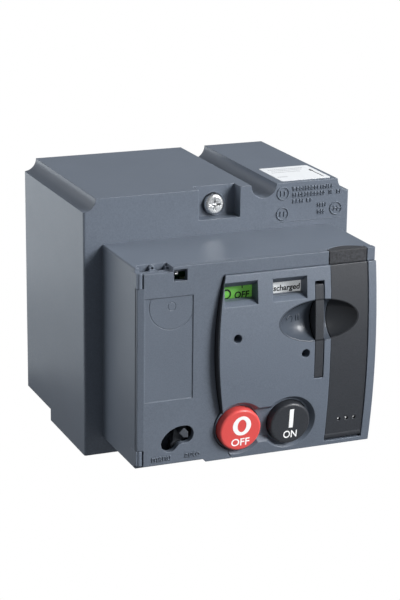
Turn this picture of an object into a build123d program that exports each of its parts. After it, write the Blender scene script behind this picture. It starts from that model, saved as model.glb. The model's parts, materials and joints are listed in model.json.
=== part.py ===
from build123d import *

"""Stored-energy electric motor operator for the front of a moulded-case circuit breaker.

Millimetres. +X is the operator's right, +Y points to the rear (into the breaker), +Z is up.
The origin is on the rear mounting face, at the axis of the breaker's toggle.
"""
import os
from math import acos, atan2, cos, degrees, hypot, pi, radians, sin, sqrt, tan

# ------------------------------------------------------------------ driving dimensions
WIDTH = 105.0            # rear block
NOSE_WIDTH = 91.0
TOP = 62.5               # above the toggle axis
BOTTOM = -34.5
NOSE_TOP = 45.5
NOSE_BOTTOM = -28.0
BLOCK_DEPTH = 70.0
NOSE_DEPTH = 36.0
WALL = 2.5
FIT = 0.3                # gap between separate mouldings
RUN = 0.05               # radial running clearance

COVE = 4.75              # concave cut along both top side edges
STEP_DEPTH = 29.0        # rear stretch whose underside is raised
STEP_RISE = 4.6
GROOVE_X = 17.7
GROOVE_R = 5.1
POCKET_HALF = 8.2
POCKET_FLOOR = 51.1
POCKET_DEPTH = 5.7

BLOCK_X = WIDTH / 2
NOSE_X = NOSE_WIDTH / 2
BLOCK_FRONT = -BLOCK_DEPTH
FRONT = BLOCK_FRONT - NOSE_DEPTH         # flat plane of the nose's front
SHELL_FRONT = FRONT + 2.6                # front edge of the nose's walls
FRAME_OPENING = (-41.0, 41.0, -23.5, 38.5)

# fascia: a plate that bulges forward between its top and bottom edges
FASCIA_TOP = 40.65
BULGE_TOP = 1.1
BULGE_MAX = 3.4
BULGE_MAX_Z = 8.0
FASCIA_WALL = 2.5

# door
DOOR_THICK = 2.4
DOOR_EDGE_R = 1.2
DOOR_AXIS = (-NOSE_X + DOOR_EDGE_R, FRONT + DOOR_EDGE_R)
DOOR_BAND_END = 27.10
DOOR_BOTTOM_LEFT = -26.8
HINGE_LUGS = ((38.8, 44.1), (-26.3, -20.9))
SEAM = 0.25
SEAM_TOP = (-10.9, -24.6)
SEAM_BOTTOM = (-9.1, NOSE_BOTTOM)
NOTCH_DEPTH = 3.6
NOTCH_POCKETS = ((-43.2, -39.6), (-37.0, -33.6))
NOTCH_RING = (-38.3, NOSE_TOP - 1.1)
DOOR_BOW = -16.5         # x of the crescent gap's two edges at mid height
FASCIA_BOW = -15.9
DOOR_NOTCH_X = -32.4
DOOR_NOTCH_Z = 43.7
SEAL_HOLE = (-32.0, -27.0, 40.2, 44.4)
LABEL_RECESS = (-42.6, -24.6, -3.0, 34.8)
LABEL_DEPTH = 0.3
KEYLOCK = (-32.6, 31.3)
KEYLOCK_RINGS = (8.5, 1.6)

# fixings
FASCIA_HOLES = ((-8.95, 17.85), (17.55, 9.55))
TOP_SCREW = (-0.4, 55.6)
LOWER_SCREWS = ((-40.0, -10.0), (40.0, -10.0))
CASE_SCREWS = ((-38.0, 35.0), (38.0, 35.0), (-38.0, -20.2), (38.0, -20.2))
SCREW_TIP = -0.3
BASE_HOLE_R = 2.25

# windows: x0, x1, z0, z1
WINDOWS = {"position": (-13.75, -1.05, 29.5, 38.05), "charge": (4.7, 18.0, 29.7, 37.9)}
BROW = 2.3               # height of the slope under a window's top edge
PANE_DEPTH = 3.5         # behind the nose's front plane
PANE_THICK = 0.8
FLAG_SPANS = {"position": (-13.5, 0.8), "charge": (3.6, 19.0)}
FLAG_R = 8.3
FLAG_AXIS = (FRONT + 13.5, 33.2)
FLAG_TURN = 62.0

# buttons: centre x, centre z, head radius
BUTTONS = {"off": (-7.2, -16.5, 8.0), "on": (12.3, -16.5, 7.9)}
BUTTON_PROUD = 1.3
BUTTON_TRAVEL = 3.0
WELL_GAP = 0.3
DISH_DEPTH = 2.0
DISH_TAPER = 40.0
DISH_R = 8.75
WAIST_HALF = 5.4

# padlock tab and charging handle
TAB_X = (21.35, 24.55)
TAB_Z = (-0.2, 34.2)
TAB_REAR = FRONT + 18.0
SLOT_X = (21.05, 24.85)
SLOT_Z = (-0.5, 35.6)
RIB_X = (24.85, 27.3)
BAY_X = (27.3, 42.4)
HANDLE_X = (27.55, 42.15)
HANDLE_RECESS = 0.35
HANDLE_PIVOT = (FRONT + 1.6, -24.2)
HANDLE_HUB_R = 2.05
HANDLE_PIN_R = 0.9
SCOOP_CENTRE = (22.85, 21.5)
SCOOP_HALF_X = 16.6
SCOOP_R = 8.2
SCOOP_FORWARD = 3.0
SCOOP_LEFT = 5.5

# mode selector
SELECTOR_AXIS = (-28.2, -22.2)
SELECTOR_R = 5.8
SELECTOR_AUTO = 80.9     # direction of the peg, degrees from +X
SELECTOR_MANUAL = 149.2
SELECTOR_SLOT_R = 3.25
SELECTOR_FRONT = FRONT + 4.6
SELECTOR_BACK = FRONT + 7.4
POST_FRONT = FRONT + 10.0
POST_REAR = FRONT + 12.4

# mechanism
PLATE_X = 22.0
PLATE_T = 2.0
RACK_LINE = -30.0        # y of the rack's pitch line
PRESSURE = 25.0
TRAIN_MODULE = 1.0
MOTOR_MODULE = 0.8
TEETH = {"lever_front": 36, "lever_rear": 44, "shaft_pinion": 12, "main": 30,
         "idler_small": 12, "idler_large": 60, "motor": 12}
BACKLASH = 0.10
MAIN_AXIS = (-74.0, -4.0)
MOTOR_AXIS = (-52.0, 40.0)
YOKE_TRAVEL = 18.0
TOGGLE_TRAVEL = 22.0
SHAFT_R = 4.0
BUSH_R = 6.0
FRAME_FRONT = -82.0
FLAG_EARS = ((-16.6, -15.2), (1.2, 3.2), (19.4, 20.8))
LARGE_X = (-33.2, -30.4)
MAIN_X = (-28.8, -25.0)
RATCHET_X = (34.9, 37.1)
RATCHET_R = 12.0
RATCHET_TEETH = 18
SECTOR_X = (-3.5, 3.5)
ROD_X = 17.0
ROD_R = 2.0
TOGGLE_ROD_Y = -11.0
YOKE_ROD_Y = -25.0
YOKE_Z = (0.0, 8.0)      # discharged; the lever lifts it by YOKE_TRAVEL
RACK_X = 4.0
CARRIAGE_Z = (-21.0, -5.0)
FLANGE_LOW = (-26.8, -24.8)
FLANGE_HIGH = (45.0, 47.0)
SPACERS = ((-76.0, 31.0), (-63.0, -21.0), (-38.0, -21.5))
MOTOR_R = 12.0
MOTOR_X = (-PLATE_X + 0.02, 18.0)
LATCH_AXIS = (-34.0, -14.0)
LATCH_X = (6.0, 10.5)

# wiring: x0, x1, y0, y1, z0, z1 of the board and x0, x1, y0, z0, z1 of the terminals
BOARD = (-42.9, -19.2, FRONT + 14.0, FRONT + 15.6, -8.0, 39.0)
TERMINALS = (-39.0, -26.5, FRONT + 5.4, -3.0, 37.8)
TERMINAL_COUNT = 8
MODE_SWITCH = (-22.6, -18.4, FRONT + 3.2, FRONT + 8.8, NOSE_BOTTOM + WALL + 0.05, -13.4)

FOOT = (Align.CENTER, Align.CENTER, Align.MIN)

os.makedirs("parts", exist_ok=True)


# ------------------------------------------------------------------ helpers
def block(x0, x1, y0, y1, z0, z1):
    return Pos((x0 + x1) / 2, (y0 + y1) / 2, (z0 + z1) / 2) * Box(x1 - x0, y1 - y0, z1 - z0)


def rod_x(y, z, r, x0, x1):
    return Plane(origin=(x0, y, z), z_dir=(1, 0, 0)) * Cylinder(r, x1 - x0, align=FOOT)


def rod_y(x, z, r, y0, y1):
    return Plane(origin=(x, y0, z), z_dir=(0, 1, 0)) * Cylinder(r, y1 - y0, align=FOOT)


def rod_z(x, y, r, z0, z1):
    return Pos(x, y, z0) * Cylinder(r, z1 - z0, align=FOOT)


def prism_x(face, x0, x1):
    """Extrude a face drawn in (Y, Z) from x0 to x1."""
    return extrude(Plane.YZ.offset(x0) * face, x1 - x0)


def prism_y(face, y0, y1):
    """Extrude a face drawn in (X, Z) from the plane y1 forward to y0."""
    return extrude(Plane(origin=(0, y1, 0), x_dir=(1, 0, 0), z_dir=(0, -1, 0)) * face, y1 - y0)


def polygon(*points):
    return make_face(Polyline(*points, close=True))


def polar(centre, r, angle):
    return (centre[0] + r * cos(radians(angle)), centre[1] + r * sin(radians(angle)))


def bearing(a, b):
    """Direction from point a to point b, degrees."""
    return degrees(atan2(b[1] - a[1], b[0] - a[0]))


def distance(a, b):
    return hypot(b[0] - a[0], b[1] - a[1])


def save(shape, name):
    solids = shape.solids()
    if len(solids) == 1:
        export_step(solids[0], f"parts/{name}.step")
    else:
        export_step(Compound(children=list(solids)), f"parts/{name}.step")


def three_point_circle(a, b, c):
    """Centre and radius of the circle through three (Y, Z) points."""
    d = 2 * (a[0] * (b[1] - c[1]) + b[0] * (c[1] - a[1]) + c[0] * (a[1] - b[1]))
    squares = [p[0] ** 2 + p[1] ** 2 for p in (a, b, c)]
    y = (squares[0] * (b[1] - c[1]) + squares[1] * (c[1] - a[1]) + squares[2] * (a[1] - b[1])) / d
    z = (squares[0] * (c[0] - b[0]) + squares[1] * (a[0] - c[0]) + squares[2] * (b[0] - a[0])) / d
    return (y, z), distance((y, z), a)


BULGE_POINTS = ((FRONT - BULGE_TOP, FASCIA_TOP), (FRONT - BULGE_MAX, BULGE_MAX_Z), (FRONT, NOSE_BOTTOM))
BULGE_CENTRE, BULGE_R = three_point_circle(*BULGE_POINTS)


def surface_y(z, inset=0.0):
    """Depth of the fascia's front surface, or of a surface inset behind it, at height z."""
    return BULGE_CENTRE[0] - sqrt((BULGE_R - inset) ** 2 - (z - BULGE_CENTRE[1]) ** 2)


def bulge_profile(inset, rear, z0, z1):
    """(Y, Z) face between the fascia's surface, moved back by inset, and the plane y=rear."""
    middle = (z0 + z1) / 2
    low, mid, high = [(surface_y(z, inset), z) for z in (z0, middle, z1)]
    front = ThreePointArc(low, mid, high)
    rest = Polyline((surface_y(z1, inset), z1), (rear, z1), (rear, z0), (surface_y(z0, inset), z0))
    return make_face(front + rest)


def button_plane(name, back=0.0):
    """Plane on the fascia's surface at a button; z points out along the button's axis."""
    x, z, _ = BUTTONS[name]
    y = surface_y(z)
    tilt = degrees(atan2(z - BULGE_CENTRE[1], -(y - BULGE_CENTRE[0])))
    out = (0, -cos(radians(tilt)), sin(radians(tilt)))
    plane = Plane(origin=(x, y, z), x_dir=(1, 0, 0), z_dir=out)
    return plane.offset(-back)


def ellipsoid(grow):
    """The finger scoop's surface of revolution about X; grow thickens it."""
    half, r = SCOOP_HALF_X + grow, SCOOP_R + grow
    profile = make_face(EllipticalCenterArc((0, 0), half, r, 0, arc_size=180) + Line((-half, 0), (half, 0)))
    solid = revolve(profile, Axis.X)
    return Pos(SCOOP_CENTRE[0], surface_y(SCOOP_CENTRE[1]) - SCOOP_FORWARD, SCOOP_CENTRE[1]) * solid


# ------------------------------------------------------------------ casings
def rear_housing():
    """Wide block, open to the rear, with top coves, a top groove and a pocket for the captive screw."""
    body = block(-BLOCK_X, BLOCK_X, BLOCK_FRONT, 0, BOTTOM, TOP)
    body -= block(-BLOCK_X, BLOCK_X, -STEP_DEPTH, 0, BOTTOM, BOTTOM + STEP_RISE)
    body = fillet(body.edges().filter_by(Axis.Z), 0.8)
    inner_x, inner_front, inner_top = BLOCK_X - WALL, BLOCK_FRONT + WALL, TOP - WALL
    cavity = block(-inner_x, inner_x, inner_front, 1, BOTTOM + WALL, inner_top)
    cavity -= block(-inner_x, inner_x, -STEP_DEPTH - WALL, 1, BOTTOM, BOTTOM + STEP_RISE + WALL)
    for side in (-1, 1):
        cavity -= rod_y(side * BLOCK_X, TOP, COVE + 2.2, BLOCK_FRONT, 1)
    cavity -= rod_y(GROOVE_X, TOP, GROOVE_R + 2.2, BLOCK_FRONT, 1)
    pocket_wall = POCKET_HALF + WALL
    pocket_back = BLOCK_FRONT + POCKET_DEPTH + WALL
    cavity -= block(-pocket_wall, pocket_wall, BLOCK_FRONT, pocket_back, POCKET_FLOOR - WALL, TOP)
    body -= cavity
    for side in (-1, 1):
        body -= rod_y(side * BLOCK_X, TOP, COVE, BLOCK_FRONT - 1, 1)
    body -= rod_y(GROOVE_X, TOP, GROOVE_R, BLOCK_FRONT - 1, 1)
    pocket_floor_y = BLOCK_FRONT + POCKET_DEPTH
    body -= block(-POCKET_HALF, POCKET_HALF, BLOCK_FRONT - 1, pocket_floor_y, POCKET_FLOOR, TOP + 1)
    body -= rod_y(TOP_SCREW[0], TOP_SCREW[1], 2.2, BLOCK_FRONT, pocket_back + 1)
    body -= rod_y(TOP_SCREW[0], TOP_SCREW[1], 4.2, BLOCK_FRONT, pocket_floor_y + 1.2)
    x0, x1, z0, z1 = FRAME_OPENING
    body -= block(x0, x1, BLOCK_FRONT - 1, inner_front + 1, z0, z1)
    for x, z in CASE_SCREWS:
        body += corner_pad(x, z, BLOCK_FRONT, inner_front)
        body += rod_y(x, z, 3.2, BLOCK_FRONT, BLOCK_FRONT + 9)
        body -= rod_y(x, z, 1.4, BLOCK_FRONT - 1, BLOCK_FRONT + 8)
    return body


def corner_pad(x, z, y0, y1):
    """Square pad in a corner of the frame opening, where a case screw joins nose and block."""
    edge_x, edge_z = 41.5, (39.0 if z > 0 else -24.2)
    xa, xb = sorted((x - 3.4 if x > 0 else x + 3.4, edge_x if x > 0 else -edge_x))
    za, zb = sorted((z - 3.4 if z > 0 else z + 3.4, edge_z))
    return block(xa, xb, y0, y1, za, zb)


def front_housing():
    """Nose: four walls with a rear flange, hinge lugs, a notch and the top bay of the handle."""
    flange = BLOCK_FRONT - WALL
    body = block(-NOSE_X, NOSE_X, SHELL_FRONT, BLOCK_FRONT, NOSE_BOTTOM, NOSE_TOP)
    body = fillet(body.edges().filter_by(Axis.Y), 0.6)
    low, high = NOSE_BOTTOM + WALL, NOSE_TOP - WALL
    inner = block(-NOSE_X + WALL, NOSE_X - 2.0, SHELL_FRONT - 1, flange, low, high)
    x0, x1, z0, z1 = FRAME_OPENING
    body -= inner + block(x0, x1, flange - 1, BLOCK_FRONT + 1, z0, z1)
    # corner pillar at the right end of the top wall
    body += block(BAY_X[1] + 0.1, NOSE_X, FRONT, SHELL_FRONT, FASCIA_TOP + 0.15, NOSE_TOP)
    # half-moon bay for the handle's grip, and clearance for its hub
    body -= block(BAY_X[0], BAY_X[1], SHELL_FRONT - 1, SHELL_FRONT + 0.4, FASCIA_TOP, NOSE_TOP + 1)
    body -= grip_outline(FIT, FASCIA_TOP, NOSE_TOP + 1)
    hub = HANDLE_HUB_R + 0.35
    body -= rod_x(*HANDLE_PIVOT, hub, BAY_X[0], BAY_X[1])
    # the roof is stepped down at the door's low corner, with two pockets, a rib and a small ring
    notch_back = SHELL_FRONT + NOTCH_DEPTH
    step = DOOR_NOTCH_Z + 0.1
    body -= block(-NOSE_X + 1.6, DOOR_NOTCH_X, SHELL_FRONT - 1, notch_back, step, NOSE_TOP + 1)
    for x0, x1 in NOTCH_POCKETS:
        body -= block(x0, x1, SHELL_FRONT + 0.9, notch_back, DOOR_NOTCH_Z - 0.9, NOSE_TOP)
    ring = rod_y(*NOTCH_RING, 1.0, notch_back - 1.6, notch_back)
    body += ring - rod_y(*NOTCH_RING, 0.45, SHELL_FRONT, notch_back - 0.6)
    # lugs that hold the door's hinge pin, flush with the door's face
    x, y = DOOR_AXIS
    for z0, z1 in HINGE_LUGS:
        body += block(-NOSE_X - 0.15, x, y - 0.75, SHELL_FRONT + 3, z0, z1)
        body += block(x, -NOSE_X + 2.1, y, SHELL_FRONT + 3, z0, z1)
        body += rod_z(x, y, DOOR_EDGE_R - 0.05, z0, z1)
    # the corner behind the door's hinge barrel, hollowed to clear it
    low, high = HINGE_LUGS[1][1], HINGE_LUGS[0][0]
    corner = block(-NOSE_X, DOOR_AXIS[0], DOOR_AXIS[1], SHELL_FRONT + 0.01, low, high)
    body += corner - rod_z(*DOOR_AXIS, DOOR_EDGE_R + 0.2, low - 1, high + 1)
    body -= rod_z(*DOOR_AXIS, 0.6, HINGE_LUGS[1][0] + 0.8, HINGE_LUGS[0][1] - 0.8)
    for x, z in CASE_SCREWS:
        body += corner_pad(x, z, flange, BLOCK_FRONT)
        body -= rod_y(x, z, 1.6, flange - 1, BLOCK_FRONT + 1)
    # post for the selector and ledge for the seal loop
    x, z = SELECTOR_AXIS
    body += block(x - 5.3, x + 4.0, POST_FRONT, POST_REAR, NOSE_BOTTOM + 1, z + 3.2)
    body += rod_y(x, z, 1.6, SELECTOR_BACK + 0.1, POST_REAR)
    body -= rod_y(x, z, 1.02, SELECTOR_BACK, POST_REAR - 0.2)
    body += block(-NOSE_X + 1, x - 5.3, POST_FRONT, POST_REAR, NOSE_BOTTOM + 1, z - 0.4)
    x0, x1, _, z1 = SEAL_HOLE
    body += block(x0 - 1.5, x1 - 2.0, SHELL_FRONT + 1.5, SHELL_FRONT + 6, z1 - 2.5, NOSE_TOP - 1)
    return body


def grip_outline(grow, z0, z1):
    """Half-moon in plan at the top of the handle bay, extruded from z0 to z1."""
    x0, x1 = HANDLE_X[0] - grow, HANDLE_X[1] + grow
    rear, sag = FRONT + 1.8, 3.4 + grow
    arc = ThreePointArc((x0, rear), ((x0 + x1) / 2, rear + sag), (x1, rear))
    front = Polyline((x1, rear), (x1, FRONT - 1), (x0, FRONT - 1), (x0, rear))
    return extrude(Plane.XY.offset(z0) * make_face(arc + front), z1 - z0)


def crescent_points(bow, gap):
    """Top, middle and bottom of one of the crescent's two edges."""
    return (-13.4 + gap, FASCIA_TOP + 0.15), (bow, 12.8), (-14.0 + gap, -10.3)


DOOR_CRESCENT = crescent_points(DOOR_BOW, 0.0)
FASCIA_CRESCENT = crescent_points(FASCIA_BOW, 0.3)


def terminal_door():
    """Flat L-shaped door: the left half of the front and the band above the fascia."""
    rear = FRONT + DOOR_THICK
    left = DOOR_AXIS[0]
    bottom_step = -20.5
    top, middle, bottom = DOOR_CRESCENT
    outline = Polyline(top, (DOOR_BAND_END, top[1]), (DOOR_BAND_END, NOSE_TOP), (DOOR_NOTCH_X, NOSE_TOP),
                       (DOOR_NOTCH_X, DOOR_NOTCH_Z), (left, DOOR_NOTCH_Z), (left, DOOR_BOTTOM_LEFT),
                       (bottom_step, DOOR_BOTTOM_LEFT), (bottom_step + 1.2, NOSE_BOTTOM),
                       (SEAM_BOTTOM[0] - SEAM, NOSE_BOTTOM), (SEAM_TOP[0] - SEAM, SEAM_TOP[1]), bottom)
    outline += ThreePointArc(bottom, middle, top)
    door = prism_y(make_face(outline), FRONT, rear)
    x, z, r = BUTTONS["off"]
    door -= rod_y(x, z + 0.35, r + 1.3, FRONT - 1, rear + 1)
    # rounded hinge edge between the two lugs, with a shallow facet in front
    low, high = HINGE_LUGS[1][1] + 0.1, HINGE_LUGS[0][0] - 0.1
    door += rod_z(*DOOR_AXIS, DOOR_EDGE_R, low, high)
    facet = polygon((left - 2, FRONT - 1), (left + 1.2, FRONT - 1), (left + 1.2, FRONT),
                    (left - 0.95, FRONT + 0.45), (left - 2, FRONT + 0.45))
    door -= extrude(Plane.XY.offset(NOSE_BOTTOM - 1) * facet, NOSE_TOP - NOSE_BOTTOM + 2)
    for z0, z1 in ((high, NOSE_TOP), (NOSE_BOTTOM, low)):
        door -= block(left - 3, -NOSE_X + 2.45, FRONT - 1, rear + 1, z0, z1)
    door -= rod_z(*DOOR_AXIS, 0.6 + RUN, low - 1, high + 1)
    x0, x1, z0, z1 = LABEL_RECESS
    recess = FRONT + LABEL_DEPTH
    door -= block(x0, x1, FRONT - 1, recess, z0, z1)
    # the knock-out's score line and centre ring
    for r in KEYLOCK_RINGS:
        ring = rod_y(*KEYLOCK, r, FRONT, recess + 0.12) - rod_y(*KEYLOCK, r - 0.22, FRONT - 1, FRONT + 1)
        door -= ring & block(x0 + 0.3, x1 - 0.3, FRONT, FRONT + 1, z0, z1 - 0.3)
    x0, x1, z0, z1 = SEAL_HOLE
    door -= block(x0, x1, FRONT - 1, rear + 1, z0, z1)
    door -= prism_y(selector_slot(), FRONT - 1, rear + 1)
    return door


def selector_slot():
    """Kidney-shaped slot swept by the selector's peg."""
    r_out, r_in = SELECTOR_R + SELECTOR_SLOT_R, SELECTOR_R - SELECTOR_SLOT_R
    a, b, mid = SELECTOR_AUTO, SELECTOR_MANUAL, (SELECTOR_AUTO + SELECTOR_MANUAL) / 2
    c = SELECTOR_AXIS
    outer = ThreePointArc(polar(c, r_out, a), polar(c, r_out, mid), polar(c, r_out, b))
    inner = ThreePointArc(polar(c, r_in, b), polar(c, r_in, mid), polar(c, r_in, a))
    end_b = ThreePointArc(polar(c, r_out, b), end_point(b, 1), polar(c, r_in, b))
    end_a = ThreePointArc(polar(c, r_in, a), end_point(a, -1), polar(c, r_out, a))
    return make_face(outer + end_b + inner + end_a)


def end_point(angle, way):
    centre = polar(SELECTOR_AXIS, SELECTOR_R, angle)
    return polar(centre, SELECTOR_SLOT_R, angle + 90 * way)


def fascia_outline():
    """(X, Z) outline of the fascia, without its collar round the red button."""
    top, middle, bottom = FASCIA_CRESCENT
    rest = Polyline(SEAM_BOTTOM, (NOSE_X, NOSE_BOTTOM), (NOSE_X, FASCIA_TOP), (top[0], FASCIA_TOP))
    low = Polyline(bottom, SEAM_TOP, SEAM_BOTTOM)
    return make_face(ThreePointArc((top[0], FASCIA_TOP), middle, bottom) + low + rest)


def front_fascia():
    """Bulging right-hand plate with windows, button wells, scoop, tab slot and handle bay."""
    plate = prism_y(fascia_outline(), FRONT - 6, SHELL_FRONT + 6)
    skin = prism_x(bulge_profile(0, SHELL_FRONT + 6, NOSE_BOTTOM, FASCIA_TOP), -20, NOSE_X)
    behind = BULGE_R - FASCIA_WALL
    hollow = rod_x(BULGE_CENTRE[0], BULGE_CENTRE[1], behind, -25, NOSE_X + 1)
    hollow -= block(-26, NOSE_X + 2, FRONT - 9, FRONT + 400, NOSE_BOTTOM - 300, NOSE_BOTTOM)
    body = (plate & skin) - hollow
    depth = SHELL_FRONT - 0.1
    # left edge wall beside the crescent, right side wall, rib beside the slot
    frame_depth = FRONT + PANE_DEPTH + 1.1
    edge_wall = prism_y(fascia_outline() - Pos(1.2, 0) * fascia_outline(), FRONT - 6, frame_depth)
    edge_wall &= block(-18, -9, FRONT - 6, frame_depth, -11.5, FASCIA_TOP)
    body += edge_wall & prism_x(bulge_profile(0, frame_depth, NOSE_BOTTOM, FASCIA_TOP), -20, 0)
    body += prism_x(bulge_profile(0, depth, NOSE_BOTTOM, FASCIA_TOP), BAY_X[1], NOSE_X)
    body += prism_x(bulge_profile(0, FRONT + 8, NOSE_BOTTOM + WALL, FASCIA_TOP), RIB_X[0], RIB_X[1])
    guide = bulge_profile(0.5, FRONT + 9.2, SLOT_Z[0] - 1.6, SLOT_Z[1] + 1.6)
    body += prism_x(guide, SLOT_X[0] - 1.5, SLOT_X[1] + 1)
    for x0, x1, z0, z1 in WINDOWS.values():
        frame = prism_x(bulge_profile(0.5, frame_depth, z0 - 1.4, z1 + 1.4), x0 - 1.3, x1 + 1.4)
        body += frame & plate
    for name in BUTTONS:
        r = BUTTONS[name][2]
        length = 8.8 if name == "off" else 7.5
        body += button_plane(name, 9.0) * Cylinder(r + 0.9, length, align=FOOT)
    above_floor = NOSE_BOTTOM + WALL + 0.05
    body -= block(-20, NOSE_X + 1, SHELL_FRONT - 0.05, FRONT + 20, NOSE_BOTTOM - 2, above_floor)
    for x, z in FASCIA_HOLES:
        body += rod_y(x, z, 3.0, surface_y(z) + 1, FRONT + 12)
    body += ellipsoid(1.8) & block(SCOOP_LEFT, RIB_X[1], FRONT - 2, FRONT + 9, 0, FASCIA_TOP)
    return cut_fascia(body)


def cut_fascia(body):
    """Openings, dishes and bores of the fascia."""
    for name, (x0, x1, z0, z1) in WINDOWS.items():
        body -= block(x0 + 0.3, x1, FRONT - 9, FRONT + 6, z0 + 1.3, z1 - BROW)
        body -= block(x0 - 0.6, x1 + 0.7, FRONT + PANE_DEPTH - 0.05, FRONT + 6, z0 - 0.6, z1 + 0.7)
        sill, foot = (surface_y(z0), z0 - 0.05), (FRONT + 0.2, z0 + 1.35)
        lintel, brow = (surface_y(z1), z1 + 0.05), (FRONT + 1.6, z1 - BROW)
        mouth = polygon((FRONT - 9, z0 - 1.5), sill, foot, brow, lintel, (FRONT - 9, z1 + 1.5))
        body -= prism_x(mouth, x0, x1)
    body -= button_dish()
    for name, (x, z, r) in BUTTONS.items():
        well = Cylinder(r + WELL_GAP, 20, align=FOOT)
        body -= button_plane(name, 12.0) * well
    body -= ellipsoid(0) & block(SCOOP_LEFT, BAY_X[1], FRONT - 9, FRONT + 9, 0, FASCIA_TOP)
    body -= block(SLOT_X[0], SLOT_X[1], FRONT - 9, FRONT + 14, SLOT_Z[0], SLOT_Z[1])
    body -= block(BAY_X[0], BAY_X[1], FRONT - 9, FRONT + 12, HANDLE_PIVOT[1] - 0.2, FASCIA_TOP + 1)
    body -= rod_x(*HANDLE_PIVOT, HANDLE_HUB_R + 0.15, BAY_X[0], BAY_X[1])
    body -= block(BAY_X[0], BAY_X[1], FRONT - 9, HANDLE_PIVOT[0], HANDLE_PIVOT[1] - HANDLE_HUB_R - 0.15, 0)
    body -= rod_x(*HANDLE_PIVOT, HANDLE_PIN_R, RIB_X[0] - 1, NOSE_X - 1.0)
    for x, z in FASCIA_HOLES:
        body -= rod_y(x, z, 1.6, FRONT - 9, FRONT + 9.5)
        body -= rod_y(x, z, 1.02, FRONT, FRONT + 13)
    return body


def button_dish():
    """Sloping hollow round the two buttons: a cone at each and a trough between them."""
    floor = button_plane("on", DISH_DEPTH)
    height = DISH_DEPTH + 3.0
    flare = height * tan(radians(DISH_TAPER))
    x_on, z_on, _ = BUTTONS["on"]
    x_off, z_off, _ = BUTTONS["off"]
    dish = Cone(DISH_R, DISH_R + flare, height, align=FOOT)
    dish += Pos(x_off - x_on, z_off - z_on, 0) * Cone(DISH_R, DISH_R + flare, height, align=FOOT)
    waist, rim = WAIST_HALF, WAIST_HALF + flare
    trough = polygon((-waist, 0), (waist, 0), (rim, height), (-rim, height))
    dish += Pos(0, 0.4, 0) * prism_x(trough, x_off - x_on, 0)
    return floor * dish


def crescent_trim():
    """Black liner of the crescent gap: a wall on the fascia's edge and a floor under the door's edge."""
    thick, clear = 0.7, 0.25
    inner = fascia_outline()
    top, middle, bottom = [(x + clear, z) for x, z in DOOR_CRESCENT]
    right = Polyline(bottom, (0, bottom[1]), (0, top[1]), top)
    beside_door = make_face(ThreePointArc(top, middle, bottom) + right)
    wall = ((Pos(-thick, 0) * inner) - inner) & beside_door
    liner = prism_y(wall, FRONT - 6, FRONT + 5)
    liner &= block(-20, -9, FRONT - 6, FRONT + 6, -10.2, FASCIA_TOP - 0.1)
    liner &= prism_x(bulge_profile(0.25, FRONT + 6, NOSE_BOTTOM, FASCIA_TOP), -20, 0)
    floor = prism_y((Pos(-5.0, 0) * inner) - inner, FRONT + 4.2, FRONT + 5)
    floor &= block(-22, -9, FRONT, FRONT + 6, -10.2, FASCIA_TOP - 0.1)
    return (liner + floor) - block(-14.1, 0, FRONT + 4.0, FRONT + 6, 20, 42)


def window_pane(name):
    x0, x1, z0, z1 = WINDOWS[name]
    left = max(x0 - 0.5, -13.45)
    front = FRONT + PANE_DEPTH
    return block(left, x1 + 0.6, front, front + PANE_THICK, z0 - 0.5, z1 + 0.6)


def top_label():
    sheet = Pos(36.0, BLOCK_FRONT + 13.1, TOP) * extrude(RectangleRounded(20.1, 21.3, 0.8), 0.15)
    return sheet


# ------------------------------------------------------------------ controls
def charging_handle():
    """Hollow black panel with the right half of the scoop, a hub at its foot and an inner lever."""
    x0, x1 = HANDLE_X
    y, z = HANDLE_PIVOT
    top = FASCIA_TOP - 0.1
    rear = FRONT + 8.0
    foot = z + 0.2
    body = prism_x(bulge_profile(HANDLE_RECESS, rear, foot, top), x0, x1)
    hollow = prism_x(bulge_profile(HANDLE_RECESS + 2.3, rear + 1, z + 4.5, top - 2.2), x0 + 1.8, x1 - 1.8)
    body -= hollow
    body += ellipsoid(1.8) & block(x0, x1 - 1, FRONT - 2, rear, 0, top)
    body -= ellipsoid(0) & block(x0 - 1, x1, FRONT - 9, rear, 0, top)
    # the foot is round about the pivot, so that it turns inside its bay
    body -= block(x0 - 1, x1 + 1, y + HANDLE_HUB_R, rear + 1, z - 5, z + 5.5)
    body += rod_x(y, z, HANDLE_HUB_R, x0, x1)
    lever_end = (y + 14.0, z + 2.4)
    arm = polygon((y, z - 1.6), (lever_end[0], lever_end[1] - 1.7), (lever_end[0], lever_end[1] + 1.7),
                  (y, z + 3.2))
    body += prism_x(arm, 33.6, 38.4)
    body += rod_x(*lever_end, 2.0, 33.6, 38.4)
    body -= block(34.9, 37.1, lever_end[0] - 3.0, lever_end[0] + 3, lever_end[1] - 3, lever_end[1] + 3)
    body -= rod_x(*lever_end, 0.75, 33, 39)
    body -= rod_x(y, z, HANDLE_PIN_R + RUN, x0 - 1, x1 + 1)
    for i in range(3):
        x = 32.6 + 3.1 * i
        body -= rod_y(x, -18.0, 0.75, FRONT - 5, surface_y(-18.0, HANDLE_RECESS) + 0.7)
    return body


def handle_grip():
    """Rough half-moon cap on the handle's top, flush with the roof of the nose."""
    cap = grip_outline(0, FASCIA_TOP + 0.05, NOSE_TOP)
    return cap & block(HANDLE_X[0], HANDLE_X[1], FRONT + 0.1, FRONT + 8, FASCIA_TOP, NOSE_TOP)


def pawl(pivot, tip, r_eye, width, x0, x1):
    """A flat pawl from an eye at pivot to a pointed tip."""
    ang = bearing(pivot, tip)
    side = polar(pivot, width, ang + 90)
    other = polar(pivot, width, ang - 90)
    near = polar(tip, width * 0.9, ang + 125)
    body = prism_x(polygon(side, near, tip, other), x0, x1)
    body += rod_x(*pivot, r_eye, x0, x1)
    return body - rod_x(*pivot, 0.75 + RUN, x0 - 1, x1 + 1)


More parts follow.
